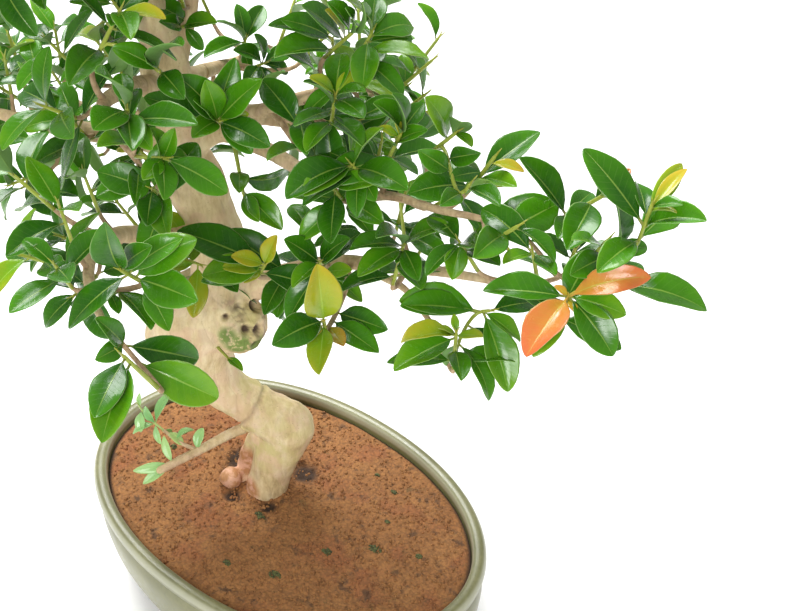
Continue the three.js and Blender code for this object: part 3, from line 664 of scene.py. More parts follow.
def applied(mesh, *modifiers):
    """The mesh after modifiers, each given as a kind and its settings."""
    carrier = bpy.data.objects.new("carrier", mesh)
    bpy.context.scene.collection.objects.link(carrier)
    for kind, settings in modifiers:
        modifier = carrier.modifiers.new(kind, kind)
        for key, value in settings.items():
            setattr(modifier, key, value)
    graph = bpy.context.evaluated_depsgraph_get()
    result = bpy.data.meshes.new_from_object(carrier.evaluated_get(graph))
    bpy.data.objects.remove(carrier)
    return result


def ring_faces(rings, sides):
    """Quads between rings of points that follow each other."""
    k = np.arange(sides)
    following = (k + 1) % sides
    band = np.stack([k, following, following + sides, k + sides], 1)
    return np.concatenate([band + ring * sides for ring in range(rings - 1)])


def tube(shape, line, sides, steps, *values, first=0.0, last=1.0):
    """A limb of round section along a line, with its rings carried along without twist, closed at its start
    and rounded at its end."""
    angles = np.arange(sides) * 2 * math.pi / sides
    rings = []
    side = None
    for share in np.linspace(first, last, steps + 1):
        tangent = line.tangent(share)
        if side is None:
            side = UP if abs(tangent[2]) < 0.9 else vec(1, 0, 0)
        side = unit(side - tangent * side.dot(tangent))
        other = np.cross(tangent, side)
        rings.append((line.point(share), tangent, side, other, line.radius(share)))
    at, tangent, side, other, r = rings[-1]
    rings.append((at + tangent * r * 0.55, tangent, side, other, r * 0.8))
    rings.append((at + tangent * r * 0.92, tangent, side, other, r * 0.35))
    points = np.concatenate([
        at + r * (np.cos(angles)[:, None] * side + np.sin(angles)[:, None] * other)
        for at, _, side, other, r in rings
    ])
    start = np.arange(sides)[::-1][None]
    end = np.arange(sides)[None] + (len(rings) - 1) * sides
    shape.add(points, [ring_faces(len(rings), sides), start, end], *values)


# Materials


class Finish:
    """A material, with short ways to add nodes to it."""

    def __init__(self, name):
        self.material = bpy.data.materials.new(name)
        self.material.use_nodes = True
        self.tree = self.material.node_tree
        self.shader = self.tree.nodes["Principled BSDF"]
        self.place = self.add("ShaderNodeTexCoord").outputs["Object"]

    def add(self, kind, **settings):
        node = self.tree.nodes.new(kind)
        for key, value in settings.items():
            setattr(node, key, value)
        return node

    def join(self, value, socket):
        if isinstance(value, bpy.types.NodeSocket):
            self.tree.links.new(value, socket)
        else:
            socket.default_value = value

    def value(self, name):
        return self.add("ShaderNodeAttribute", attribute_name=name).outputs["Fac"]

    def height(self):
        parts = self.add("ShaderNodeSeparateXYZ")
        self.join(self.place, parts.inputs[0])
        return parts.outputs[2]

    def stretched(self, x, y, z):
        node = self.add("ShaderNodeMapping")
        self.join(self.place, node.inputs["Vector"])
        node.inputs["Scale"].default_value = (x, y, z)
        return node.outputs[0]

    def noise(self, size, detail=3.0, rough=0.5, distortion=0.0, place=None):
        """Cloudy noise whose largest clouds are about size millimetres across."""
        node = self.add("ShaderNodeTexNoise")
        self.join(place or self.place, node.inputs["Vector"])
        node.inputs["Scale"].default_value = 1 / (size * MM)
        node.inputs["Detail"].default_value = detail
        node.inputs["Roughness"].default_value = rough
        node.inputs["Distortion"].default_value = distortion
        return node.outputs["Fac"]

    def cells(self, size, feature="F1", place=None):
        node = self.add("ShaderNodeTexVoronoi", feature=feature)
        self.join(place or self.place, node.inputs["Vector"])
        node.inputs["Scale"].default_value = 1 / (size * MM)
        return node.outputs["Distance"]

    def math(self, operation, a, b=0.0):
        node = self.add("ShaderNodeMath", operation=operation)
        self.join(a, node.inputs[0])
        self.join(b, node.inputs[1])
        return node.outputs[0]

    def times(self, a, b):
        return self.math("MULTIPLY", a, b)

    def plus(self, a, b):
        return self.math("ADD", a, b)

    def minus(self, a, b):
        return self.math("SUBTRACT", a, b)

    def span(self, value, low, high, to_low=0.0, to_high=1.0):
        """The value's place between low and high, as a share from to_low to to_high, with soft ends."""
        node = self.add("ShaderNodeMapRange", interpolation_type="SMOOTHSTEP")
        for k, entry in enumerate((value, low, high, to_low, to_high)):
            self.join(entry, node.inputs[k])
        return node.outputs[0]

    def band(self, value, start, full, fade, end):
        """1 between full and fade, and 0 before start and after end."""
        return self.times(self.span(value, start, full), self.span(value, end, fade))

    def ramp(self, value, *stops):
        node = self.add("ShaderNodeValToRGB")
        self.join(value, node.inputs[0])
        elements = node.color_ramp.elements
        while len(elements) < len(stops):
            elements.new(0.5)
        for element, (at, colour) in zip(elements, stops):
            element.position = at
            element.color = (*colour, 1)
        return node.outputs[0]

    def mix(self, share, a, b, blend="MIX"):
        node = self.add("ShaderNodeMix", data_type="RGBA", blend_type=blend)
        self.join(share, node.inputs[0])
        for value, socket in ((a, node.inputs[6]), (b, node.inputs[7])):
            self.join((*value, 1) if isinstance(value, tuple) else value, socket)
        return node.outputs[2]

    def bump(self, height, strength, distance):
        """Relief of that depth in millimetres, on top of any relief added before."""
        node = self.add("ShaderNodeBump")
        node.inputs["Strength"].default_value = strength
        node.inputs["Distance"].default_value = distance * MM
        self.join(height, node.inputs["Height"])
        normal = self.shader.inputs["Normal"]
        if normal.links:
            self.join(normal.links[0].from_socket, node.inputs["Normal"])
        self.join(node.outputs[0], normal)

    def done(self, colour, roughness, **constants):
        self.join(colour, self.shader.inputs["Base Color"])
        self.join(roughness, self.shader.inputs["Roughness"])
        for key, value in constants.items():
            self.shader.inputs[key.replace("_", " ")].default_value = value
        return self.material


# Colours as red, green and blue: the tones of a ramp, each with its place, and the single ones laid over
# them. A leaf's place is its age, from 0 for the youngest to 1 for the oldest. The bands of the glaze are
# heights in metres: where each begins, is full, begins to fade and ends.

GLAZE_TONES = ((0.3, (0.105, 0.106, 0.04)), (0.5, (0.165, 0.162, 0.066)), (0.72, (0.24, 0.232, 0.105)))
# The lip's pale colour is partly thinner glaze and partly a painted highlight along the rim's top.
LIP_GLAZE_AND_HIGHLIGHT, LIP_BAND = (0.5, 0.5, 0.38), (0.1195, 0.1235, 0.1275, 0.1297)
GROOVE_COLOUR, GROOVE_BAND = (0.13, 0.14, 0.06), (0.105, 0.1112, 0.1128, 0.1165)
BARE_CLAY, FOOT_BAND = (0.2, 0.15, 0.09), (0.026, 0.004)
PIT_COLOUR = (0.1, 0.09, 0.045)

SOIL_TONES = (
    (0.3, (0.155, 0.062, 0.02)), (0.44, (0.28, 0.118, 0.037)),
    (0.6, (0.355, 0.162, 0.053)), (0.75, (0.43, 0.225, 0.085)),
)
RED_SOIL, DARK_SOIL, GREEN_SOIL = (0.27, 0.085, 0.032), (0.075, 0.04, 0.022), (0.07, 0.08, 0.03)
# Both colours on the next line are painted shade: the first for the soil's hollows and its edge at the pot's
# wall, the second for the gaps between grains.
HOLLOW_SOIL_SHADE, SOIL_GAP_SHADE = (0.022, 0.014, 0.01), (0.05, 0.025, 0.012)

BARK_TONES = (
    (0.3, (0.34, 0.225, 0.105)), (0.45, (0.56, 0.42, 0.22)), (0.58, (0.7, 0.56, 0.32)),
    (0.75, (0.8, 0.7, 0.47)),
)
TWIG_TONES = ((0.35, (0.2, 0.115, 0.055)), (0.5, (0.34, 0.22, 0.12)), (0.68, (0.46, 0.33, 0.2)))
PINK_BARK, CREAM_BARK, GREEN_BARK = (0.62, 0.4, 0.27), (0.84, 0.74, 0.55), (0.5, 0.46, 0.14)
# The last colour on the next line is painted shade for the bark's knot holes, burl seams and crease.
BARK_MOSS_COLOUR, BARK_FLECK, BARK_HOLLOW_SHADE = (0.17, 0.24, 0.05), (0.24, 0.15, 0.08), (0.07, 0.04, 0.025)
WARM_ROOT, PINK_ROOT = (0.4, 0.17, 0.06), (0.62, 0.33, 0.22)

LEAF_TONES = (
    (0.0, (0.56, 0.14, 0.045)), (0.14, (0.47, 0.22, 0.03)), (0.28, (0.45, 0.33, 0.022)),
    (0.42, (0.3, 0.34, 0.015)), (0.58, (0.145, 0.31, 0.009)), (0.76, (0.054, 0.205, 0.004)),
    (1.0, (0.013, 0.078, 0.002)),
)
SPROUT_TONES = ((0.0, (0.5, 0.6, 0.2)), (0.6, (0.3, 0.52, 0.2)), (1.0, (0.13, 0.33, 0.1)))
VEIN, MIDRIB, LEAF_EDGE = (0.34, 0.5, 0.14), (0.4, 0.56, 0.1), (0.4, 0.55, 0.2)
UNDERSIDE, STALK = (0.22, 0.38, 0.12), (0.42, 0.38, 0.09)
MOSS_TONES = ((0.35, (0.03, 0.034, 0.012)), (0.5, (0.07, 0.078, 0.024)), (0.65, (0.15, 0.16, 0.05)))
NET_TONES = ((0.35, (0.015, 0.018, 0.015)), (0.7, (0.035, 0.04, 0.034)))
FLOOR_TONES = ((0.4, (0.9, 0.9, 0.9)), (0.6, (0.92, 0.92, 0.92)))


def glaze_finish():
    f = Finish("celadon_glaze")
    broad = f.noise(60, 4, 0.6)
    fine = f.noise(5, 5, 0.65)
    colour = f.ramp(f.plus(f.times(broad, 0.6), f.times(fine, 0.4)), *GLAZE_TONES)
    height = f.height()
    # Paler thin glaze and a painted highlight over the lip.
    colour = f.mix(f.times(f.band(height, *LIP_BAND), 0.5), colour, LIP_GLAZE_AND_HIGHLIGHT)
    colour = f.mix(f.times(f.band(height, *GROOVE_BAND), 0.55), colour, GROOVE_COLOUR)
    colour = f.mix(f.times(f.span(height, *FOOT_BAND), 0.6), colour, BARE_CLAY)
    pits = f.span(f.cells(2.6), 0.0, 0.22, 1.0, 0.0)
    specks = f.times(pits, f.span(f.noise(9, 2), 0.52, 0.62))
    colour = f.mix(f.times(specks, 0.45), colour, PIT_COLOUR)
    f.bump(f.noise(14, 2), 0.25, 0.5)
    f.bump(f.minus(1.0, specks), 0.3, 0.12)
    roughness = f.span(fine, 0.3, 0.7, 0.34, 0.48)
    return f.done(colour, roughness, Coat_Weight=0.3, Coat_Roughness=0.24, IOR=1.5)


def soil_finish():
    f = Finish("fired_clay_soil")
    grain = f.cells(3.2)
    broad = f.noise(38, 4, 0.6)
    fine = f.noise(2.2, 4, 0.7)
    colour = f.ramp(f.plus(f.times(broad, 0.45), f.times(fine, 0.55)), *SOIL_TONES)
    red = f.span(f.noise(45, 3, 0.55), 0.5, 0.66)
    colour = f.mix(f.times(red, 0.5), colour, RED_SOIL)
    dark = f.times(f.span(f.noise(20, 4, 0.65), 0.56, 0.68), 0.75)
    colour = f.mix(dark, colour, DARK_SOIL)
    green = f.times(f.span(f.noise(24, 3, 0.6, 0.4), 0.62, 0.72), f.span(fine, 0.4, 0.6))
    colour = f.mix(f.times(green, 0.5), colour, GREEN_SOIL)
    # Painted shade: the soil darkens to near black in its hollows and along the pot's wall.
    shade = f.span(f.value("shade"), 0.25, 0.85)
    colour = f.mix(f.times(shade, 0.92), colour, HOLLOW_SOIL_SHADE)
    # Painted shade in the gaps between grains.
    colour = f.mix(f.span(grain, 0.35, 0.7), colour, f.mix(0.3, colour, SOIL_GAP_SHADE))
    f.bump(fine, 0.7, 1.2)
    f.bump(f.minus(1.0, grain), 0.5, 1.0)
    return f.done(colour, f.span(fine, 0.3, 0.7, 0.85, 1.0))


def bark_finish():
    f = Finish("smooth_tan_bark")
    along = f.stretched(1, 1, 0.3)
    streaks = f.noise(5, 5, 0.65, 0.3, along)
    broad = f.noise(30, 4, 0.6, 0.4)
    fine = f.noise(8, 3, 0.6)
    colour = f.ramp(f.plus(f.times(broad, 0.5), f.times(streaks, 0.5)), *BARK_TONES)
    pink = f.span(f.noise(26, 3, 0.55, 0.6), 0.48, 0.62)
    colour = f.mix(f.times(pink, 0.5), colour, PINK_BARK)
    cream = f.span(f.noise(17, 4, 0.6, 0.5, along), 0.45, 0.7)
    colour = f.mix(f.times(cream, 0.25), colour, CREAM_BARK)
    green = f.times(f.value("green"), f.span(f.noise(16, 4, 0.6), 0.38, 0.62))
    colour = f.mix(f.times(green, 0.75), colour, GREEN_BARK)
    moss = f.times(f.value("moss"), f.span(f.noise(7, 4, 0.65), 0.34, 0.5))
    colour = f.mix(moss, colour, BARK_MOSS_COLOUR)
    root = f.mix(f.span(fine, 0.4, 0.6), WARM_ROOT, PINK_ROOT)
    colour = f.mix(f.times(f.value("warm"), 0.9), colour, root)
    colour = f.mix(f.times(f.value("thin"), 0.85), colour, f.ramp(streaks, *TWIG_TONES))
    flecks = f.times(f.span(f.cells(6, place=f.stretched(1, 1, 2.2)), 0.16, 0.05), 0.5)
    colour = f.mix(flecks, colour, BARK_FLECK)
    # Painted shade: knot holes, burl seams and the crease darkened towards a near-black brown.
    colour = f.mix(f.value("hollow_shade"), colour, BARK_HOLLOW_SHADE)
    cracks = f.span(f.cells(13, "DISTANCE_TO_EDGE", f.stretched(1, 1, 0.45)), 0.0, 0.09)
    f.bump(cracks, 0.25, 0.8)
    f.bump(streaks, 0.5, 1.0)
    f.bump(f.noise(1.6, 3, 0.6), 0.35, 0.3)
    return f.done(colour, f.span(streaks, 0.3, 0.7, 0.62, 0.9))


def leaf_finish(name, tones):
    """A glossy blade: its colour follows its age, with a pale midrib, side veins and a thin pale margin."""
    f = Finish(name)
    across, along, under = f.value("across"), f.value("along"), f.value("under")
    aside = f.math("ABSOLUTE", across)
    mottle = f.noise(9, 4, 0.6)
    aged = f.plus(f.value("age"), f.times(f.minus(mottle, 0.5), 0.16))
    aged = f.plus(aged, f.times(f.minus(0.5, along), 0.17))
    aged = f.plus(aged, f.times(f.minus(0.5, aside), 0.08))
    colour = f.ramp(aged, *tones)
    vein_row = f.math("FRACT", f.minus(f.times(along, 11), f.times(aside, 1.6)))
    off_vein = f.math("ABSOLUTE", f.minus(vein_row, 0.5))
    veins = f.times(f.span(off_vein, 0.1, 0.0), f.span(aside, 1.0, 0.6))
    colour = f.mix(f.times(veins, 0.1), colour, f.mix(0.5, colour, VEIN))
    rib_width = f.span(along, 0.1, 1.0, 0.055, 0.02)
    rib = f.span(f.math("DIVIDE", aside, rib_width), 1.3, 0.7)
    colour = f.mix(f.times(rib, 0.55), colour, f.mix(0.6, colour, MIDRIB))
    edge = f.span(aside, 0.94, 0.99)
    colour = f.mix(f.times(edge, 0.6), colour, LEAF_EDGE)
    colour = f.mix(under, colour, f.mix(0.55, colour, UNDERSIDE))
    stalk = f.mix(0.5, f.ramp(aged, *tones), STALK)
    colour = f.mix(f.value("stalk"), colour, stalk)
    f.bump(f.minus(1.0, veins), 0.2, 0.15)
    f.bump(f.minus(1.0, rib), 0.5, 0.35)
    f.bump(f.noise(1.3, 2), 0.12, 0.15)
    roughness = f.plus(f.span(mottle, 0.3, 0.7, 0.14, 0.3), f.times(under, 0.25))
    return f.done(colour, roughness, Specular_IOR_Level=0.32)


def moss_finish():
    f = Finish("moss")
    fine = f.noise(2, 3, 0.6)
    f.bump(fine, 0.4, 0.5)
    return f.done(f.ramp(fine, *MOSS_TONES), f.span(fine, 0.3, 0.7, 0.7, 0.95))


def drain_finish():
    f = Finish("drain_net")
    fine = f.noise(1.5, 3, 0.6)
    f.bump(fine, 0.3, 0.15)
    return f.done(f.ramp(fine, *NET_TONES), f.span(fine, 0.3, 0.7, 0.45, 0.7))


def floor_finish():
    f = Finish("pale_floor")
    return f.done(f.ramp(f.noise(900, 2), *FLOOR_TONES), 0.8)


# Pot, drain nets and soil


def curved(v):
    return np.sign(v) * np.abs(v) ** (2 / OVAL_POWER)


def oval(inset, x, y):
    """Points of the oval at an inset from the rim, in the direction x, y."""
    return (POT_LENGTH / 2 - inset) * curved(x), (POT_WIDTH / 2 - inset) * curved(y)


def smoothed(profile, steps):
    """The profile with more points between its own, on a smooth line through them."""
    line = Line([(inset, height, 0, 1) for inset, height in profile])
    return [line.point(k / (line.last * steps))[:2] for k in range(line.last * steps + 1)]


def make_pot():
    angles = np.arange(POT_SIDES) * 2 * math.pi / POT_SIDES
    rings = smoothed(POT_PROFILE, POT_SMOOTHING)
    shape = Shape()
    points = []
    for inset, height in rings:
        x, y = oval(inset, np.cos(angles), np.sin(angles))
        points.append(np.stack([x, y, np.full(POT_SIDES, height)], 1))
    bottom = np.arange(POT_SIDES)[::-1][None]
    top = np.arange(POT_SIDES)[None] + (len(rings) - 1) * POT_SIDES
    shape.add(np.concatenate(points), [ring_faces(len(rings), POT_SIDES), bottom, top])
    pot = shape.mesh("pot_shell")
    tools = [("UNION", foot(x, y)) for x in (-FOOT_X, FOOT_X) for y in (-FOOT_Y, FOOT_Y)]
    tools += [("DIFFERENCE", drain_hole(x)) for x in (-DRAIN_X, DRAIN_X)]
    steps = [("BOOLEAN", {"operation": work, "solver": "EXACT", "object": tool}) for work, tool in tools]
    pot = applied(pot, *steps)
    for _, tool in tools:
        bpy.data.objects.remove(tool)
    pot.shade_smooth()
    pot.set_sharp_from_angle(angle=math.radians(50))
    add_piece("glazed_pot", pot, glaze_finish(), "glaze", "pot")


def foot(x, y):
    """A foot with rounded edges, a little narrower at the floor."""
    work = bmesh.new()
    bmesh.ops.create_cube(work, size=1)
    for v in work.verts:
        x_share, y_share, z_share = v.co
        taper = 1 if z_share > 0 else FOOT_TAPER
        v.co = (x_share * FOOT_LENGTH * taper, y_share * FOOT_WIDTH * taper, (z_share + 0.5) * FOOT_HEIGHT)
    upright_edges = [e for e in work.edges if abs(e.verts[0].co.z - e.verts[1].co.z) > 1]
    bmesh.ops.bevel(work, geom=upright_edges, offset=FOOT_CORNER, segments=5, profile=0.5, affect="EDGES")
    floor_edges = [e for e in work.edges if all(v.co.z < 0.1 for v in e.verts)]
    bmesh.ops.bevel(work, geom=floor_edges, offset=FOOT_EDGE, segments=3, profile=0.5, affect="EDGES")
    return plan_object(work, (x, y, 0))


def drain_hole(x):
    work = bmesh.new()
    bmesh.ops.create_cone(work, cap_ends=True, segments=48, radius1=DRAIN_RADIUS, radius2=DRAIN_RADIUS,
                          depth=DRAIN_DEPTH)
    return plan_object(work, (x, 0, DRAIN_DEPTH / 2))


def plan_object(work, place):
    """An object from a bmesh in plan millimetres, moved to its place."""
    for v in work.verts:
        v.co = Vector(to_frame(vec(*v.co) + vec(*place)))
    mesh = bpy.data.meshes.new("tool")
    work.to_mesh(mesh)
    work.free()
    made = bpy.data.objects.new("tool", mesh)
    bpy.context.scene.collection.objects.link(made)
    return made


def soil_height(x, y):
    away = np.hypot(x - MOUND_X, y)
    mound = SOIL_MOUND * np.exp(-((away / MOUND_REACH) ** 2))
    return SOIL_LEVEL + mound + np.sin(x * 0.05 + 1) * np.cos(y * 0.06)


# Hollows in the soil beside the roots, sunk and darkened with painted shade, and moss on it: x, y, radius.

HOLLOWS = [(-17, 47, 17), (-87, 18, 17), (-76, 2, 15), (-48, -28, 10), (-8, -14, 10)]
MOSS = [(-3, -30, 7), (65, -74, 7), (70, 90, 4), (112, 17, 8), (80, -18, 6), (150, 40, 4), (20, -96, 4),
        (96, 52, 3), (-110, 60, 5), (-150, -20, 4), (40, 96, 3)]


def crumbs(x, y):
    """How far the soil's crumbs stand out at a point."""
    at = Vector((x, y, 0))
    lump = noise.noise(at / 21) * 1.5 + noise.noise(at / 7) * 1.1
    near = noise.voronoi(at / 4.6)[0][0]
    return lump + max(0.0, 0.55 - near) * 2.6 + noise.noise(at / 2.3) * 0.5


def make_soil():
    """A grid bent into the oval, raised into crumbs, with the soil's wall and floor below it."""
    u, v = np.meshgrid(np.linspace(-1, 1, SOIL_COLUMNS), np.linspace(-1, 1, SOIL_ROWS))
    x, y = u * np.sqrt(1 - v**2 / 2), v * np.sqrt(1 - u**2 / 2)
    reach = np.hypot(x, y)
    with np.errstate(invalid="ignore", divide="ignore"):
        way_x, way_y = np.where(reach > 0, x / reach, 0), np.where(reach > 0, y / reach, 0)
        far_x, far_y = oval(SOIL_WALL[0][0], way_x, way_y)
    x, y = far_x * reach, far_y * reach
    z = soil_height(x, y)
    inner = np.clip((1 - reach) / 0.03, 0, 1)
    lift = np.array([[crumbs(a, b) for a, b in zip(*rows)] for rows in zip(x, y)])
    dark = np.zeros_like(x)
    for hx, hy, r in HOLLOWS:
        pit = np.exp(-(((x - hx) ** 2 + (y - hy) ** 2) / r**2))
        z -= pit * HOLLOW_DEPTH
        dark = np.maximum(dark, pit)
    z = z + lift * inner - (1 - inner) * 2.5
    # Painted shade also darkens the soil's edge where it meets the pot's wall.
    dark = np.maximum(dark, (1 - np.clip((1 - reach) / 0.035, 0, 1)) * 0.9)
    points = np.stack([x, y, z], 2).reshape(-1, 3)
    at = np.arange(len(points)).reshape(x.shape)
    quads = np.stack([at[:-1, :-1], at[:-1, 1:], at[1:, 1:], at[1:, :-1]], 2).reshape(-1, 4)
    border = np.concatenate([at[0, :-1], at[:-1, -1], at[-1, :0:-1], at[:0:-1, 0]])
    shape = Shape("shade")
    lower = [wall_points(points[border], inset, height) for inset, height in SOIL_WALL[1:]]
    wall = np.concatenate(lower)
    n = len(border)
    first = len(points) + np.arange(n)
    ahead = np.roll(border, -1)
    skirt = np.stack([ahead, border, first, np.roll(first, -1)], 1)
    bands = ring_faces(len(lower), n)[:, ::-1] + len(points)
    bottom = (np.arange(n) + len(points) + n * (len(lower) - 1))[::-1][None]
    shape.add(np.concatenate([points, wall]), [quads, skirt, bands, bottom],
              np.concatenate([dark.ravel(), np.zeros(len(wall))]))
    scatter_grains(shape)
    scatter_moss()
    add_piece("soil_surface", shape.mesh("soil_surface"), soil_finish(), "soil", "soil")


def wall_points(border, inset, height):
    """The border's points moved in to another inset of the oval, at a height."""
    shrink_x = (POT_LENGTH / 2 - inset) / (POT_LENGTH / 2 - SOIL_WALL[0][0])
    shrink_y = (POT_WIDTH / 2 - inset) / (POT_WIDTH / 2 - SOIL_WALL[0][0])
    return np.stack([border[:, 0] * shrink_x, border[:, 1] * shrink_y, np.full(len(border), height)], 1)


def round_form(fineness, radius=1):
    """The points and faces of a ball about the origin."""
    work = bmesh.new()
    bmesh.ops.create_icosphere(work, subdivisions=fineness, radius=radius)
    points = np.array([v.co for v in work.verts])
    faces = np.array([[v.index for v in f.verts] for f in work.faces])
    work.free()
    return points, faces


def scatter_grains(shape):
    """Loose crumbs that lie half sunk all over the soil."""
    points, faces = round_form(1)
    draw = np.random.default_rng(5)
    for _ in range(GRAINS):
        around, reach = draw.uniform(0, 2 * math.pi), 0.965 * math.sqrt(draw.uniform())
        x, y = oval(SOIL_WALL[0][0], math.cos(around), math.sin(around))
        x, y = x * reach, y * reach
        size = draw.uniform(0.9, 2.1) * (1.5 if draw.uniform() < 0.06 else 1)
        turn = np.linalg.qr(draw.normal(size=(3, 3)))[0]
        form = (points * draw.uniform(0.65, 1.1, (1, 3)) * draw.uniform(0.8, 1.15, (len(points), 1))) @ turn
        form = form * vec(1, 1, 0.8) * size
        place = vec(x, y, soil_height(x, y) + crumbs(x, y) + size * 0.2)
        flip = np.linalg.det(turn) < 0
        # Each grain's value darkens it a little at random, through the same value as the painted shade.
        shape.add(form + place, [faces[:, ::-1] if flip else faces], draw.uniform(0, 0.35))


def scatter_moss():
    """Small cushions of moss, each a heap of tiny lumps."""
    points, faces = round_form(1)
    draw = np.random.default_rng(9)
    shape = Shape()
    for x, y, r in MOSS:
        for _ in range(int(r * 9)):
            way, away = draw.uniform(0, 2 * math.pi), r * draw.uniform() ** 0.7
            at_x, at_y = x + away * math.cos(way), y + 0.6 * away * math.sin(way)
            size = draw.uniform(0.6, 1.3)
            rise = 1.6 * (1 - (away / r) ** 2)
            place = vec(at_x, at_y, soil_height(at_x, at_y) + crumbs(at_x, at_y) + rise)
            shape.add(points * size * draw.uniform(0.8, 1.2, (len(points), 1)) + place, [faces])
    add_piece("moss_cushions", shape.mesh("moss_cushions"), moss_finish(), "soil")


# Wood


# Places on the bark: x, y, z and radius of knot holes, with their depth, of mossy and green patches, of the
# warm old roots and of the burl. The crease lies in a plane through CREASE_AT, across CREASE_WAY.

KNOT_HOLES = [
    (-17, -2, 364, 5.5, 7), (-7, 4, 356, 5.5, 8), (-8, -11, 344, 4.5, 6), (-9, -14, 328, 4, 5),
    (-30, -19, 368, 4, 5), (-11, -23, 349, 4, 5), (-29, -32, 361, 3, 4), (-43, -29, 366, 3, 3),
    (-95, -62, 352, 4, 5), (-60, -58, 590, 4, 4),
]
BARK_MOSS = [(-14, -31, 333, 13), (-23, -36, 344, 9), (-9, -12, 327, 10)]
BARK_GREEN = [(-25, 10, 195, 52), (-38, -2, 252, 26), (-20, -12, 345, 26)]
BARK_WARM = [(-62, 2, 145, 24), (-62, -16, 127, 15), (-36, -16, 128, 14)]
BURL = [(-12, -10, 344, 30), (-22, -22, 366, 18)]
UP_SHIFT, RELIEF_SHIFT = Vector((0, 0, 5)), Vector((7, 3, 1))
CREASE_AT = (-38, -1, 232)
CREASE_WAY = (-0.6, -0.56, 0.57)
CREASE_REACH = 34


def nearness(points, spots, soft=1.0):
    """1 at the spots and 0 past their radius, for each point."""
    share = np.zeros(len(points))
    for x, y, z, r, *_ in spots:
        away = np.linalg.norm(points - vec(x, y, z), axis=1) / r
        share = np.maximum(share, np.clip((1.25 - away) / (0.25 + soft), 0, 1))
    return share


def bark_relief(p, girth):
    """How far the bark stands out at a point of a limb of that radius."""
    at = Vector(p)
    coarse = noise.noise(at / 34) * 2.4 + noise.noise(at / 15 + RELIEF_SHIFT) * 1.3
    ridge = noise.noise(Vector((p[0] / 7, p[1] / 7, p[2] / 34))) * 0.8
    return (coarse + ridge) * min(1.0, girth / 24)


def grown_wood(lines):
    """The trunk, the roots and the thick parts of the boughs, grown together into one skin."""
    rough = Shape()
    for x, y, z, r in KNUCKLES:
        points, faces = round_form(3, r)
        rough.add(points + vec(x, y, z), [faces])
    tube(rough, lines["trunk"], TRUNK_SIDES, 160)
    tube(rough, Line(OLD_ROOT), LIMB_SIDES, 24)
    tube(rough, Line(ROOT_FLARE), TRUNK_SIDES, 12)
    tube(rough, Line(STUB), LIMB_SIDES, 40, last=0.85)
    for line in lines.values():
        thin = line.at[:, 3] < THIN_RADIUS
        thick = np.argmax(thin) if thin.any() else line.last
        tube(rough, line, LIMB_SIDES, 16 * line.last, last=thick / line.last)
    return applied(rough.mesh("grown"), ("REMESH", {"mode": "VOXEL", "voxel_size": WOOD_VOXEL * MM}),
                   ("SMOOTH", {"factor": 0.5, "iterations": 4}))


def slim_wood(lines, twigs):
    """The far parts of the trunk, the boughs and the stub, and every twig, as plain tubes."""
    slim = Shape("thin", "green", "moss", "warm", "hollow_shade")
    for name, line in lines.items():
        if name != "trunk":
            tube(slim, line, LIMB_SIDES, 10 * line.last, 0.55, first=0.3)
    tube(slim, lines["trunk"], LIMB_SIDES, 60, 0.4, first=0.8)
    tube(slim, Line(STUB), LIMB_SIDES, 24, 0.3, first=0.3)
    tube(slim, Line(STUB_TWIG), TWIG_SIDES, 10, 0.6)
    for twig in twigs:
        tube(slim, twig, TWIG_SIDES, max(5, int(twig.length / 7)), 1.0)
    return slim.mesh("slim")


def make_wood(lines, twigs):
    grown = grown_wood(lines)
    carve_bark(grown, lines)
    joined = joined_meshes("wood_surface", grown, slim_wood(lines, twigs))
    joined.shade_smooth()
    add_piece("bark", joined, bark_finish(), "bark", "wood")


def mesh_values(mesh, kind):
    """The places or normals of a mesh's points."""
    values = np.empty(len(mesh.vertices) * 3, np.float32)
    mesh.vertices.foreach_get(kind, values)
    return values.reshape(-1, 3)


def girth_near(points, lines):
    """The radius of the limb that each point lies on."""
    marks, girths = [], []
    for line in lines.values():
        for share in np.linspace(0, 1, 8 * line.last + 1):
            marks.append(line.point(share))
            girths.append(line.radius(share))
    marks, girths = np.array(marks), np.array(girths)
    girth = np.empty(len(points))
    for start in range(0, len(points), GIRTH_BATCH):
        part = slice(start, start + GIRTH_BATCH)
        away = np.linalg.norm(points[part, None] - marks[None], axis=2) - girths[None]
        girth[part] = girths[np.argmin(away, axis=1)]
    return girth


def sink_holes(points, lift, hollow_shade):
    """Sinks the knot holes, each inside a raised rim, and darkens them with painted shade. It changes lift
    and the painted shade, as do the next two.
    """
    for x, y, z, r, depth in KNOT_HOLES:
        away = np.linalg.norm(points - vec(x, y, z), axis=1)
        bowl = np.clip(1 - (away / (r * 1.6)) ** 2, 0, 1)
        rim = np.exp(-(((away - r * 1.9) / (r * 0.5)) ** 2))
        lift[:] = lift + (rim * 1.3 - bowl * depth)
        hollow_shade[:] = np.maximum(hollow_shade, np.clip((bowl - 0.35) / 0.4, 0, 1))


def raise_burl(points, lift, hollow_shade):
    """Raises the burl's lumps, with painted shade darkening the seams between them."""
    burl = nearness(points, BURL)
    for k in np.flatnonzero(burl > 0):
        at = Vector(points[k])
        at += Vector((noise.noise(at / 14), noise.noise(at / 14 + UP_SHIFT), noise.noise(at / 11))) * 9
        near_lump, next_lump = noise.voronoi(at / 12)[0][:2]
        rough = 0.5 + noise.noise(at / 16)
        lift[k] += burl[k] * (1.8 - near_lump * 5) * rough
        seam = min(max(1.2 - (next_lump - near_lump) / 0.2, 0.0), 1.0)
        hollow_shade[k] = max(hollow_shade[k], burl[k] * seam * min(1.0, rough * 1.4))


def press_crease(points, lift, hollow_shade):
    """Presses in the crease that runs round the trunk above its knee, and darkens it with painted shade."""
    off_plane = (points - vec(*CREASE_AT)) @ unit(vec(*CREASE_WAY))
    near = np.linalg.norm(points - vec(*CREASE_AT), axis=1) < CREASE_REACH
    wander = np.array([noise.noise(Vector(p) / 12) for p in points]) * 3
    crease = np.exp(-(((off_plane + wander) / 2.1) ** 2)) * near
    lift[:] = lift - crease * 2.2
    hollow_shade[:] = np.maximum(hollow_shade, crease * 0.3)


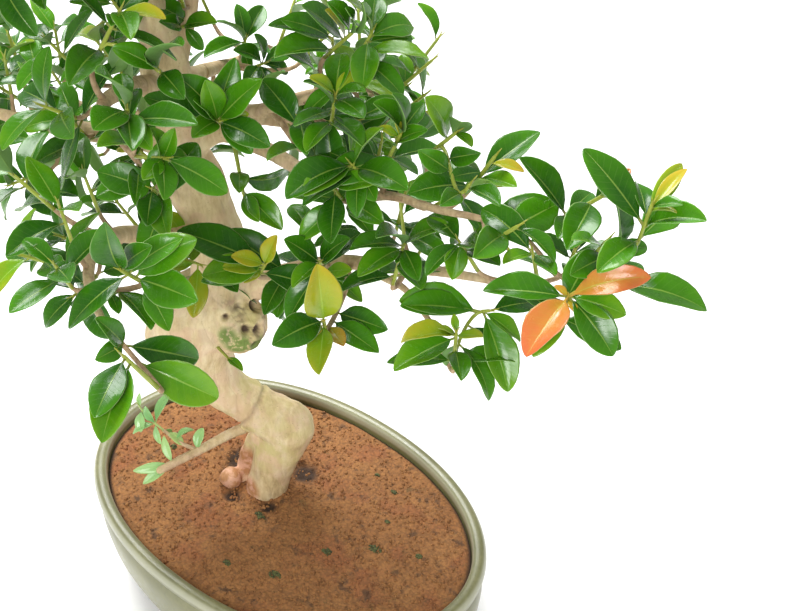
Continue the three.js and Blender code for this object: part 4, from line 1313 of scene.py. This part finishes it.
def carve_bark(mesh, lines):
    """Raises the bark's relief, sinks its knot holes and crease, paints shade into them and the burl's seams,
    and marks its patches.
    """
    points = (mesh_values(mesh, "co") - PLAN_ORIGIN) / MM
    normals = mesh_values(mesh, "normal").astype(float)
    girth = girth_near(points, lines)
    lift = np.array([bark_relief(p, g) for p, g in zip(points, girth)])
    hollow_shade = np.zeros(len(points))
    for carve in (sink_holes, raise_burl, press_crease):
        carve(points, lift, hollow_shade)
    moved = to_frame(points + normals * lift[:, None])
    mesh.vertices.foreach_set("co", moved.astype(np.float32).ravel())
    mesh.update()
    store(mesh, "thin", np.clip((11 - girth) / 9, 0, 1) * 0.7)
    store(mesh, "green", nearness(points, BARK_GREEN))
    store(mesh, "moss", nearness(points, BARK_MOSS, 0.3))
    store(mesh, "warm", nearness(points, BARK_WARM, 0.25))
    store(mesh, "hollow_shade", hollow_shade)


def joined_meshes(name, *meshes):
    work = bmesh.new()
    for mesh in meshes:
        work.from_mesh(mesh)
    result = bpy.data.meshes.new(name)
    work.to_mesh(result)
    work.free()
    return result


# Leaves: the shares of a leaf's length at which it has a ring, and the points across the top of a ring

STATIONS = np.array([
    0, 0.045, 0.085, 0.1, 0.13, 0.19, 0.28, 0.38, 0.49, 0.6, 0.71, 0.81, 0.895, 0.955, 0.988, 1.0,
])
COLUMNS = np.array([-1, -0.9, -0.45, -0.07, 0.07, 0.45, 0.9])
STALK_HALF = 0.9
BLADE_HALF_THICKNESS = 0.32


def blade_half(s):
    """The blade's half width at a share of the leaf's length, as a share of its greatest."""
    b = np.clip((s - PETIOLE) / (1 - PETIOLE), 0, 1)
    return np.where(b < 0.5, np.sin(math.pi * b) ** 0.9, np.sin(math.pi * b) ** 0.67)


class Leaf:
    """One leaf: where its stalk starts, the way it points, the way its face looks, its length, age and width.
    An aimed leaf has the tip of its arch where the straight one would have it."""

    def __init__(self, base, out, face, length, age, width=1.0, aimed=False):
        self.base, self.out, self.face, self.length, self.age = base, out, face, length, age
        self.width, self.aimed = width, aimed

    def middle(self):
        return self.base + self.out * self.length * 0.55

    def tip(self):
        return self.base + self.out * self.length


def arched(s, bend):
    """How far along and how far down an arched leaf is at a share of its length, as shares of it."""
    turn = bend * np.clip(s - PETIOLE, 0, 1)
    return np.where(turn < 1e-6, s, PETIOLE + np.sin(turn) / bend), (1 - np.cos(turn)) / bend


def add_leaf(shape, leaf, draw):
    """Adds the leaf's closed mesh: rings round the stalk that open into a thin folded blade, arched back."""
    length, out, face = leaf.length, leaf.out, leaf.face
    side = np.cross(out, face)
    ratio = LEAF_RATIO * leaf.width * draw.uniform(*WIDTH_RANGE)
    bend = LEAF_BEND * draw.uniform(*BEND_RANGE)
    if leaf.aimed:
        reach, sink = arched(1.0, bend)
        length = length / math.hypot(reach, sink)
        lift = math.atan2(sink, reach)
        out, face = out * math.cos(lift) + face * math.sin(lift), face * math.cos(lift) - out * math.sin(lift)
    fold = draw.uniform(*FOLD_RANGE)
    twist = draw.uniform(*TWIST_RANGE)
    curl = draw.uniform(*CURL_RANGE)
    wave, wave_at = draw.uniform(*WAVE_RANGE), draw.uniform(0, 2 * math.pi)
    s = STATIONS[:, None]
    turn = bend * np.clip(s - PETIOLE, 0, 1)
    along, drop = arched(s, bend)
    top = np.concatenate([COLUMNS, [1.0]])
    under = -COLUMNS[1:][None]
    v = np.concatenate([top[None], under], 1)
    half_blade = blade_half(s) * ratio * length
    stalk_half = STALK_HALF * length / LEAF_LENGTH
    half = np.maximum(half_blade, np.where(s < STALK_END, stalk_half, 0.05))
    in_blade = np.clip((s - BLADE_START) / 0.04, 0, 1)
    thick = stalk_half * (1 - in_blade) + BLADE_HALF_THICKNESS * in_blade
    sign = np.concatenate([np.ones(len(top)), -np.ones(len(COLUMNS) - 1)])[None]
    cap = np.sqrt(np.clip(1 - v**2, 0, 1)) * (1 - in_blade) + np.clip((1 - np.abs(v)) / 0.1, 0, 1) * in_blade
    angle = twist * (s - PETIOLE) * 4
    normal_out = np.sin(turn)[..., None] * out + np.cos(turn)[..., None] * face
    sideways = np.cos(angle)[..., None] * side + np.sin(angle)[..., None] * normal_out
    normal = np.cos(angle)[..., None] * normal_out - np.sin(angle)[..., None] * side
    ripple = wave * length * np.sin(s * 17 + wave_at + np.sign(v)) * np.abs(v) ** 2
    rise = half * (np.abs(v) * math.sin(fold) + curl * v**2) * in_blade + ripple * in_blade
    rise = rise + sign * cap * thick
    middle = leaf.base + along[..., None] * length * out - drop[..., None] * length * face
    points = middle + (v * half * math.cos(fold))[..., None] * sideways + rise[..., None] * normal
    ring = v.shape[1]
    count = len(STATIONS)
    stalk = np.clip((STALK_END - s) / 0.03, 0, 1) + 0 * v
    values = [leaf.age + 0 * s + 0 * v, v + 0 * s, np.clip((s - PETIOLE) / (1 - PETIOLE), 0, 1) + 0 * v,
              np.where(sign < 0, 1.0, 0.0) + 0 * s, stalk]
    start = np.arange(ring)[None]
    end = (np.arange(ring) + (count - 1) * ring)[::-1][None]
    faces = [ring_faces(count, ring)[:, ::-1], start, end]
    shape.add(points.reshape(-1, 3), faces, *[w.ravel() for w in values])


LEAF_VALUES = ("age", "across", "along", "under", "stalk")
STEM_VALUES = (0.5, 0.5, 0, 1)


def radial_of(axis, turn):
    """The direction that points away from a stem at a turn about it, in degrees."""
    across = unit(np.cross(UP, axis))
    other = np.cross(axis, across)
    around = math.radians(turn)
    return across * math.cos(around) + other * math.sin(around)


def leaves_of(tip, axis, turn, pairs, size, random, tint):
    """The leaves of one tip, in pairs that turn a quarter from one to the next."""
    leaves = []
    for i in range(pairs):
        below, angle, share = PAIRS[i]
        for k in range(2):
            radial = radial_of(axis, turn + 90 * i + 180 * k + (random() - 0.5) * 16)
            lean = math.radians(angle + (random() - 0.5) * 14)
            length = LEAF_LENGTH * size * share * (0.9 + 0.2 * random())
            out = unit(axis * math.cos(lean) + radial * math.sin(lean))
            inner = unit(axis - out * axis.dot(out))
            face = inner * 0.6 + UP * 0.55
            face = unit(face - out * face.dot(out))
            low, high = AGES[tint][min(i, 1)]
            spread = (math.sin(12.9898 * (tip[0] + 7 * i + 3 * k)) * 43758.5453) % 1
            leaves.append(Leaf(tip - axis * (below + 2.5), out, face, length, low + (high - low) * spread))
    return leaves


def ruled_sprays(lines):
    """The shoots that a rule sets along the boughs which the photograph doesn't show."""
    sprays = []
    seed = 11
    for bough, count in SHOOTS.items():
        line = lines[bough]
        for k in range(count):
            random = make_random(seed)
            seed += 1
            last = k == count - 1
            t = 1 if last else 0.58 + 0.26 * k
            tangent = line.tangent(t)
            across = unit(np.cross(tangent, UP)) * (1 if k % 2 == 0 else -1)
            lead = tangent * (1 if last else 0.55) + across * (0.1 if last else 0.85)
            lead = unit(lead + UP * (0.35 if last else 0.45))
            reach = 66 if last else 92 + 20 * random()
            tip = line.point(t) + lead * reach
            bearing = math.degrees(math.atan2(lead[1], lead[0]))
            tint = "fresh" if random() < 0.35 else "green"
            turn = round(random() * 12) * 15
            pairs = 3 if bough.startswith("crown") else 2
            sprays.append((f"{bough}_{k + 1}", bough, t, tint, [(*tip, bearing, 45, turn, pairs)]))
    return sprays


def add_stem(shape, line, steps, age):
    """A green stem, which has the colour of a leaf's stalk."""
    tube(shape, line, TWIG_SIDES, steps, age, *STEM_VALUES)


def add_bud(shape, tip, axis, age, size=1.0):
    """The folded new leaves at a shoot's tip."""
    for turn in (0, 180):
        side = radial_of(axis, turn)
        end = tip + axis * 9 * size + side * 2.6 * size
        bud = Twig(tip - axis * 1.5, axis, end, unit(axis + side * 0.5), 1.3 * size, 0.3 * size)
        tube(shape, bud, 6, 5, age, *STEM_VALUES)


def grow_spray(entry, line, number):
    """A leafy shoot: its mesh of green stems, the list of its leaves and its woody twig."""
    name, _, t, tint, tips = entry
    x, y, z, bearing, rise = tips[0][:5]
    axis, tip = heading(bearing, rise), vec(x, y, z)
    start = line.point(min(t, 0.97))
    green = min(GREEN_LENGTH, np.linalg.norm(start - tip) * 0.62)
    base = tip - axis * green
    lead = unit(base - start) * 0.8 + line.tangent(t) * 0.5
    random = make_random(1000 + number)
    shape = Shape(*LEAF_VALUES)
    leaves, stems = [], []
    foot_of_stem = base + axis * GAP
    for k, (tx, ty, tz, tip_bearing, tip_rise, turn, pairs) in enumerate(tips):
        way, end = heading(tip_bearing, tip_rise), vec(tx, ty, tz)
        if k == 0:
            stems.append(Straight(foot_of_stem, end, STEM_RADIUS + 0.4, STEM_RADIUS))
        else:
            fork = foot_of_stem + axis * green * 0.25
            straight = PAIRS[pairs - 1][0] + 5 if pairs > 1 else 8
            knee = end - way * straight
            stems.append(Twig(fork, axis, knee + way, way, STEM_RADIUS, STEM_RADIUS))
            stems.append(Straight(knee, end, STEM_RADIUS, STEM_RADIUS))
        add_bud(shape, end, way, 0.45 if tint != "young" else 0.3)
        leaves += leaves_of(end, way, turn, pairs, 1, random, tint)
    for stem in stems:
        add_stem(shape, stem, 3 if isinstance(stem, Straight) else 8, STEM_AGE)
    start_radius = min(line.radius(t) * 0.8, TWIG_RADIUS + 1.2)
    twig = Twig(start, unit(lead), base, axis, start_radius, TWIG_RADIUS)
    return shape, with_seen(leaves, name, [*stems, twig]), twig


def reached_tip(u, v, base, length, axis):
    """Where a leaf of that length meets the line of sight through a pixel, or the nearest place on it."""
    eye, way = camera_place(), pixel_ray(u, v)
    nearest = eye + way * (base - eye).dot(way)
    off = np.linalg.norm(nearest - base)
    if off >= length:
        return nearest
    half = math.sqrt(length**2 - off**2)
    ends = [nearest + way * half, nearest - way * half]
    return min(ends, key=lambda end: abs(unit(end - base).dot(axis) - 0.4))


def seen_leaf(entry, stems):
    """The leaf of a SEEN_LEAVES entry, on the place of the stems that is seen nearest to its base."""
    base_u, base_v, u, v, age, size, *width = entry
    places = [(stem, share) for stem in stems for share in np.linspace(0.3, 1, 15)]

    def off(place):
        return math.dist(pixel_of(place[0].point(place[1])), (base_u, base_v))

    stem, share = min(places, key=off)
    base, axis = stem.point(share), stem.tangent(share)
    end = reached_tip(u, v, base, LEAF_LENGTH * size, axis)
    out = unit(end - base)
    inner = unit(axis - out * axis.dot(out) + UP * 1e-3)
    face = inner * 0.4 + UP * 0.5 + camera_axes()[2] * 0.35
    face = unit(face - out * face.dot(out))
    return Leaf(base, out, face, np.linalg.norm(end - base), age, *(width or [1.0]), aimed=True)


def with_seen(leaves, name, stems):
    """The shoot's leaves: the seen ones, and those of the rule that keep off them or cover a bare stretch."""
    seen = [seen_leaf(entry, stems) for entry in SEEN_LEAVES.get(name, [])]
    room = max(0, len(leaves) - len(seen))
    leaves = [leaf for leaf in leaves if not in_clear(leaf.tip())]
    kept = [leaf for leaf in leaves if all(leaf.out.dot(other.out) < 0.8 for other in seen)][:room]
    if seen:
        kept += [leaf for leaf in leaves if leaf not in kept and is_bare(leaf, seen)]
    return seen + kept


def is_bare(leaf, seen):
    """Whether the stem has no seen leaf near this leaf's base."""
    return all(math.dist(leaf.base, other.base) > BARE_LENGTH for other in seen)


def add_plain_stem(shape, line, share, lead, base, tip, axis):
    """Adds the green stem of a shoot and its bud, and gives the stem and the twig that carries it."""
    stem = Straight(base, tip, STEM_RADIUS + 0.3, STEM_RADIUS - 0.2)
    add_stem(shape, stem, 3, STEM_AGE)
    add_bud(shape, tip, axis, 0.5)
    start_radius = min(line.radius(share) * 0.8, TWIG_RADIUS + 0.4)
    return stem, Twig(line.point(share), lead, base + axis, axis, start_radius, TWIG_RADIUS - 0.2)


def grow_seen_shoot(name, lines):
    """A shoot of SEEN_SHOOTS: its twig, its mesh and its leaves."""
    bough, (u, v), distance, entries = SEEN_SHOOTS[name]
    tip = camera_place() + pixel_ray(u, v) * distance
    line = lines[bough]
    share = min(np.linspace(0.3, 1, 30), key=lambda s: np.linalg.norm(line.point(s) - tip))
    start = line.point(share)
    axis = unit(unit(tip - start) + UP * 0.4)
    base = tip - axis * min(GREEN_LENGTH, np.linalg.norm(tip - start) * 0.6)
    shape = Shape(*LEAF_VALUES)
    stem, twig = add_plain_stem(shape, line, share, unit(base - start), base, tip, axis)
    return shape, [seen_leaf(entry, [stem, twig]) for entry in entries], twig


class Crown:
    """The leaves and shoot tips placed so far, so that new ones keep their distance."""

    def __init__(self):
        self.leaves, self.hubs, self.sights = [], [], []

    def take(self, leaves, hub):
        self.leaves += [leaf.middle() for leaf in leaves]
        self.hubs.append(hub)

    def show(self, leaves):
        """Notes where the camera sees these leaves, so that none is set in front of them."""
        for leaf in leaves:
            for share in (0.3, 0.6, 0.9):
                place = leaf.base + leaf.out * leaf.length * share
                self.sights.append((*pixel_of(place), np.linalg.norm(place - camera_place())))

    def hides(self, leaf):
        """Whether a leaf would stand in front of a shown one."""
        sights = np.array(self.sights)
        for place in (leaf.middle(), leaf.tip()):
            near = np.linalg.norm(sights[:, :2] - pixel_of(place), axis=1) < SIGHT_ROOM
            if (sights[near, 2] > np.linalg.norm(place - camera_place()) - 3).any():
                return True
        return False

    def has_room(self, point, taken, room):
        return not taken or np.min(np.linalg.norm(np.array(taken) - point, axis=1)) > room


def fill_shoots(line, crown, low, high, seed):
    """The leafy shoots that a rule sets along a bough between those of the frame."""
    random = make_random(seed)
    shape = Shape(*LEAF_VALUES)
    twigs, placed = [], []
    marks = [line.point(share) for share in np.linspace(0, 1, 12)]
    length = sum(np.linalg.norm(b - a) for a, b in zip(marks, marks[1:]))
    count = int(length * (1 - FILL_START) / FILL_SPACING * 2)
    for k in range(count):
        share = FILL_START + (1 - FILL_START) * (k + random()) / count
        start, tangent = line.point(share), line.tangent(share)
        radial = radial_of(tangent, 137.5 * k + 40 * random())
        lead = unit(radial + UP * (0.25 + 0.3 * random()) + tangent * (0.25 + 0.4 * random()))
        reach = FILL_REACH[0] + (FILL_REACH[1] - FILL_REACH[0]) * random()
        tip = start + lead * reach
        axis = unit(lead + UP * 0.5)
        if not (crown.has_room(tip, crown.hubs, HUB_ROOM) and (tip > low).all() and (tip < high).all()):
            continue
        tint = "fresh" if random() < 0.22 else "green"
        pairs = 3 if random() < 0.6 else 2
        leaves = leaves_of(tip, axis, 360 * random(), pairs, 0.78 + 0.3 * random(), random, tint)
        first = leaves[:2]
        leaves = [leaf for leaf in leaves if not in_clear(leaf.tip()) and not in_clear(leaf.middle())
                  and crown.has_room(leaf.middle(), crown.leaves, LEAF_ROOM) and not crown.hides(leaf)
                  and (leaf.tip() > low).all() and (leaf.tip() < high).all()]
        if not all(leaf in leaves for leaf in first) or in_clear(tip):
            continue
        base = tip - axis * min(GREEN_LENGTH, reach * 0.6)
        lead = unit(lead + tangent * 0.4)
        twigs.append(add_plain_stem(shape, line, share, lead, base, tip, axis)[1])
        crown.take(leaves, tip)
        placed += leaves
    return shape, placed, twigs


def grow_sprout():
    """The small-leaved sprout on the cut stub."""
    random = make_random(7)
    line = Line(STUB_TWIG)
    end, axis = line.point(1), line.tangent(1)
    stem = Twig(end + axis * GAP, axis, vec(*SPROUT_TIP), heading(200, 60), 1.2, 1.0)
    shape = Shape(*LEAF_VALUES)
    add_stem(shape, stem, 10, 0.6)
    add_bud(shape, stem.point(1), stem.tangent(1), 0.5, 0.6)
    leaves = []
    for t, turn, pairs in ((1, 20, 2), (0.45, 80, 1)):
        leaves += leaves_of(stem.point(t), stem.tangent(t), turn, pairs, 0.5, random, "sprout")
    return shape, with_seen(leaves, "sprout", [stem, line, Line(STUB)])


# Camera, floor and light


def pixel_ray(u, v):
    """The direction of the line of sight through a pixel."""
    right, up, back = camera_axes()
    aside = right * (u - IMAGE_WIDTH / 2) / FOCAL_PIXELS
    return unit(-back + aside + up * (IMAGE_HEIGHT / 2 - v) / FOCAL_PIXELS)


def pixel_of(point):
    right, up, back = camera_axes()
    away = point - camera_place()
    scale = FOCAL_PIXELS / -away.dot(back)
    return IMAGE_WIDTH / 2 + away.dot(right) * scale, IMAGE_HEIGHT / 2 - away.dot(up) * scale


def inside(u, v, outline):
    odd = False
    for (ua, va), (ub, vb) in zip(outline, outline[1:] + outline[:1]):
        if (va > v) != (vb > v) and u < ua + (ub - ua) * (v - va) / (vb - va):
            odd = not odd
    return odd


def in_clear(point):
    """Whether a point is seen where the photograph shows no leaves."""
    u, v = pixel_of(point)
    return any(inside(u, v, outline) for outline in CLEAR_OUTLINES)


def camera_axes():
    a, e = math.radians(CAMERA_AZIMUTH), math.radians(CAMERA_ELEVATION)
    back = vec(math.sin(a) * math.cos(e), -math.cos(a) * math.cos(e), math.sin(e))
    right = vec(math.cos(a), math.sin(a), 0)
    return right, np.cross(back, right), back


def camera_place():
    return vec(*CAMERA_TARGET) + camera_axes()[2] * CAMERA_DISTANCE


def make_camera():
    right, up, back = camera_axes()
    data = bpy.data.cameras.new("camera")
    data.sensor_fit = "HORIZONTAL"
    data.sensor_width = SENSOR_WIDTH
    data.lens = FOCAL_PIXELS * SENSOR_WIDTH / IMAGE_WIDTH
    camera = bpy.data.objects.new("camera", data)
    turn = Matrix([[*row] for row in np.stack([right, up, back], 1)]).to_4x4()
    camera.matrix_world = Matrix.Translation(Vector(to_frame(camera_place()))) @ turn
    bpy.context.scene.collection.objects.link(camera)
    bpy.context.scene.camera = camera


def add_light(name, place, size, power):
    data = bpy.data.lights.new(name, "AREA")
    data.shape = "DISK"
    data.size = size
    data.energy = power
    light = bpy.data.objects.new(name, data)
    light.location = place
    light.rotation_euler = (Vector(LIGHT_TARGET) - Vector(place)).to_track_quat("-Z", "Y").to_euler()
    bpy.context.scene.collection.objects.link(light)


def make_studio():
    work = bmesh.new()
    bmesh.ops.create_grid(work, x_segments=8, y_segments=8, size=FLOOR_HALF)
    mesh = bpy.data.meshes.new("floor")
    work.to_mesh(mesh)
    work.free()
    mesh.materials.append(floor_finish())
    floor = bpy.data.objects.new("floor", mesh)
    bpy.context.scene.collection.objects.link(floor)
    world = bpy.data.worlds.new("studio")
    world.use_nodes = True
    sky = world.node_tree.nodes["Background"].inputs
    sky["Color"].default_value = (1, 1, 1, 1)
    sky["Strength"].default_value = WORLD_STRENGTH
    bpy.context.scene.world = world
    bpy.context.scene.view_settings.view_transform = "Standard"
    for light in LIGHTS:
        add_light(*light)


# The whole tree


def add_foliage(name, shape, leaves, draw, material, slot, *replaced):
    """Adds the leaves to the shape of their stems and makes one piece of both."""
    for leaf in leaves:
        add_leaf(shape, leaf, draw)
    add_piece(name, shape.mesh(name), material, slot, *replaced)


def make_tree():
    lines = {"trunk": Line(TRUNK), **{name: Line(points) for name, points in BOUGHS.items()}}
    finishes = {tint: leaf_finish(f"leaf_{tint}", LEAF_TONES) for tint in ("green", "fresh", "young")}
    finishes["sprout"] = leaf_finish("leaf_sprout", SPROUT_TONES)
    draw = np.random.default_rng(21)
    twigs = []
    crown = Crown()
    for number, entry in enumerate([*SPRAYS, *ruled_sprays(lines)]):
        name, bough, _, tint, tips = entry
        shape, leaves, twig = grow_spray(entry, lines[bough], number)
        add_foliage(f"leaves_{name}", shape, leaves, draw, finishes[tint], f"leaf_{tint}", f"spray_{name}")
        twigs.append(twig)
        crown.take(leaves, vec(*tips[0][:3]))
        if name in SEEN_LEAVES:
            crown.show(leaves)
    for name in SEEN_SHOOTS:
        shape, leaves, twig = grow_seen_shoot(name, lines)
        add_foliage(f"foliage_{name}", shape, leaves, draw, finishes["green"], "leaf_green")
        twigs.append(twig)
        crown.take(leaves, twig.point(1))
        crown.show(leaves)
    low, high = [(vec(*corner) - PLAN_ORIGIN) / MM for corner in cad_box]
    for number, (name, line) in enumerate(lines.items()):
        shape, leaves, more = fill_shoots(line, crown, low + BOX_MARGIN, high - BOX_MARGIN, 300 + number)
        if leaves:
            add_foliage(f"foliage_{name}", shape, leaves, draw, finishes["green"], "leaf_green")
        twigs += more
    shape, leaves = grow_sprout()
    add_foliage("leaves_sprout", shape, leaves, draw, finishes["sprout"], "leaf_sprout", "spray_sprout")
    make_wood(lines, twigs)


def finish_drain_nets():
    """Gives the drain nets of the frame their material."""
    net = drain_finish()
    for side in ("left", "right"):
        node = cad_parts[f"drain_mesh_{side}"]
        node.data.materials.clear()
        node.data.materials.append(net)


make_camera()
make_studio()
make_pot()
make_soil()
make_tree()
finish_drain_nets()
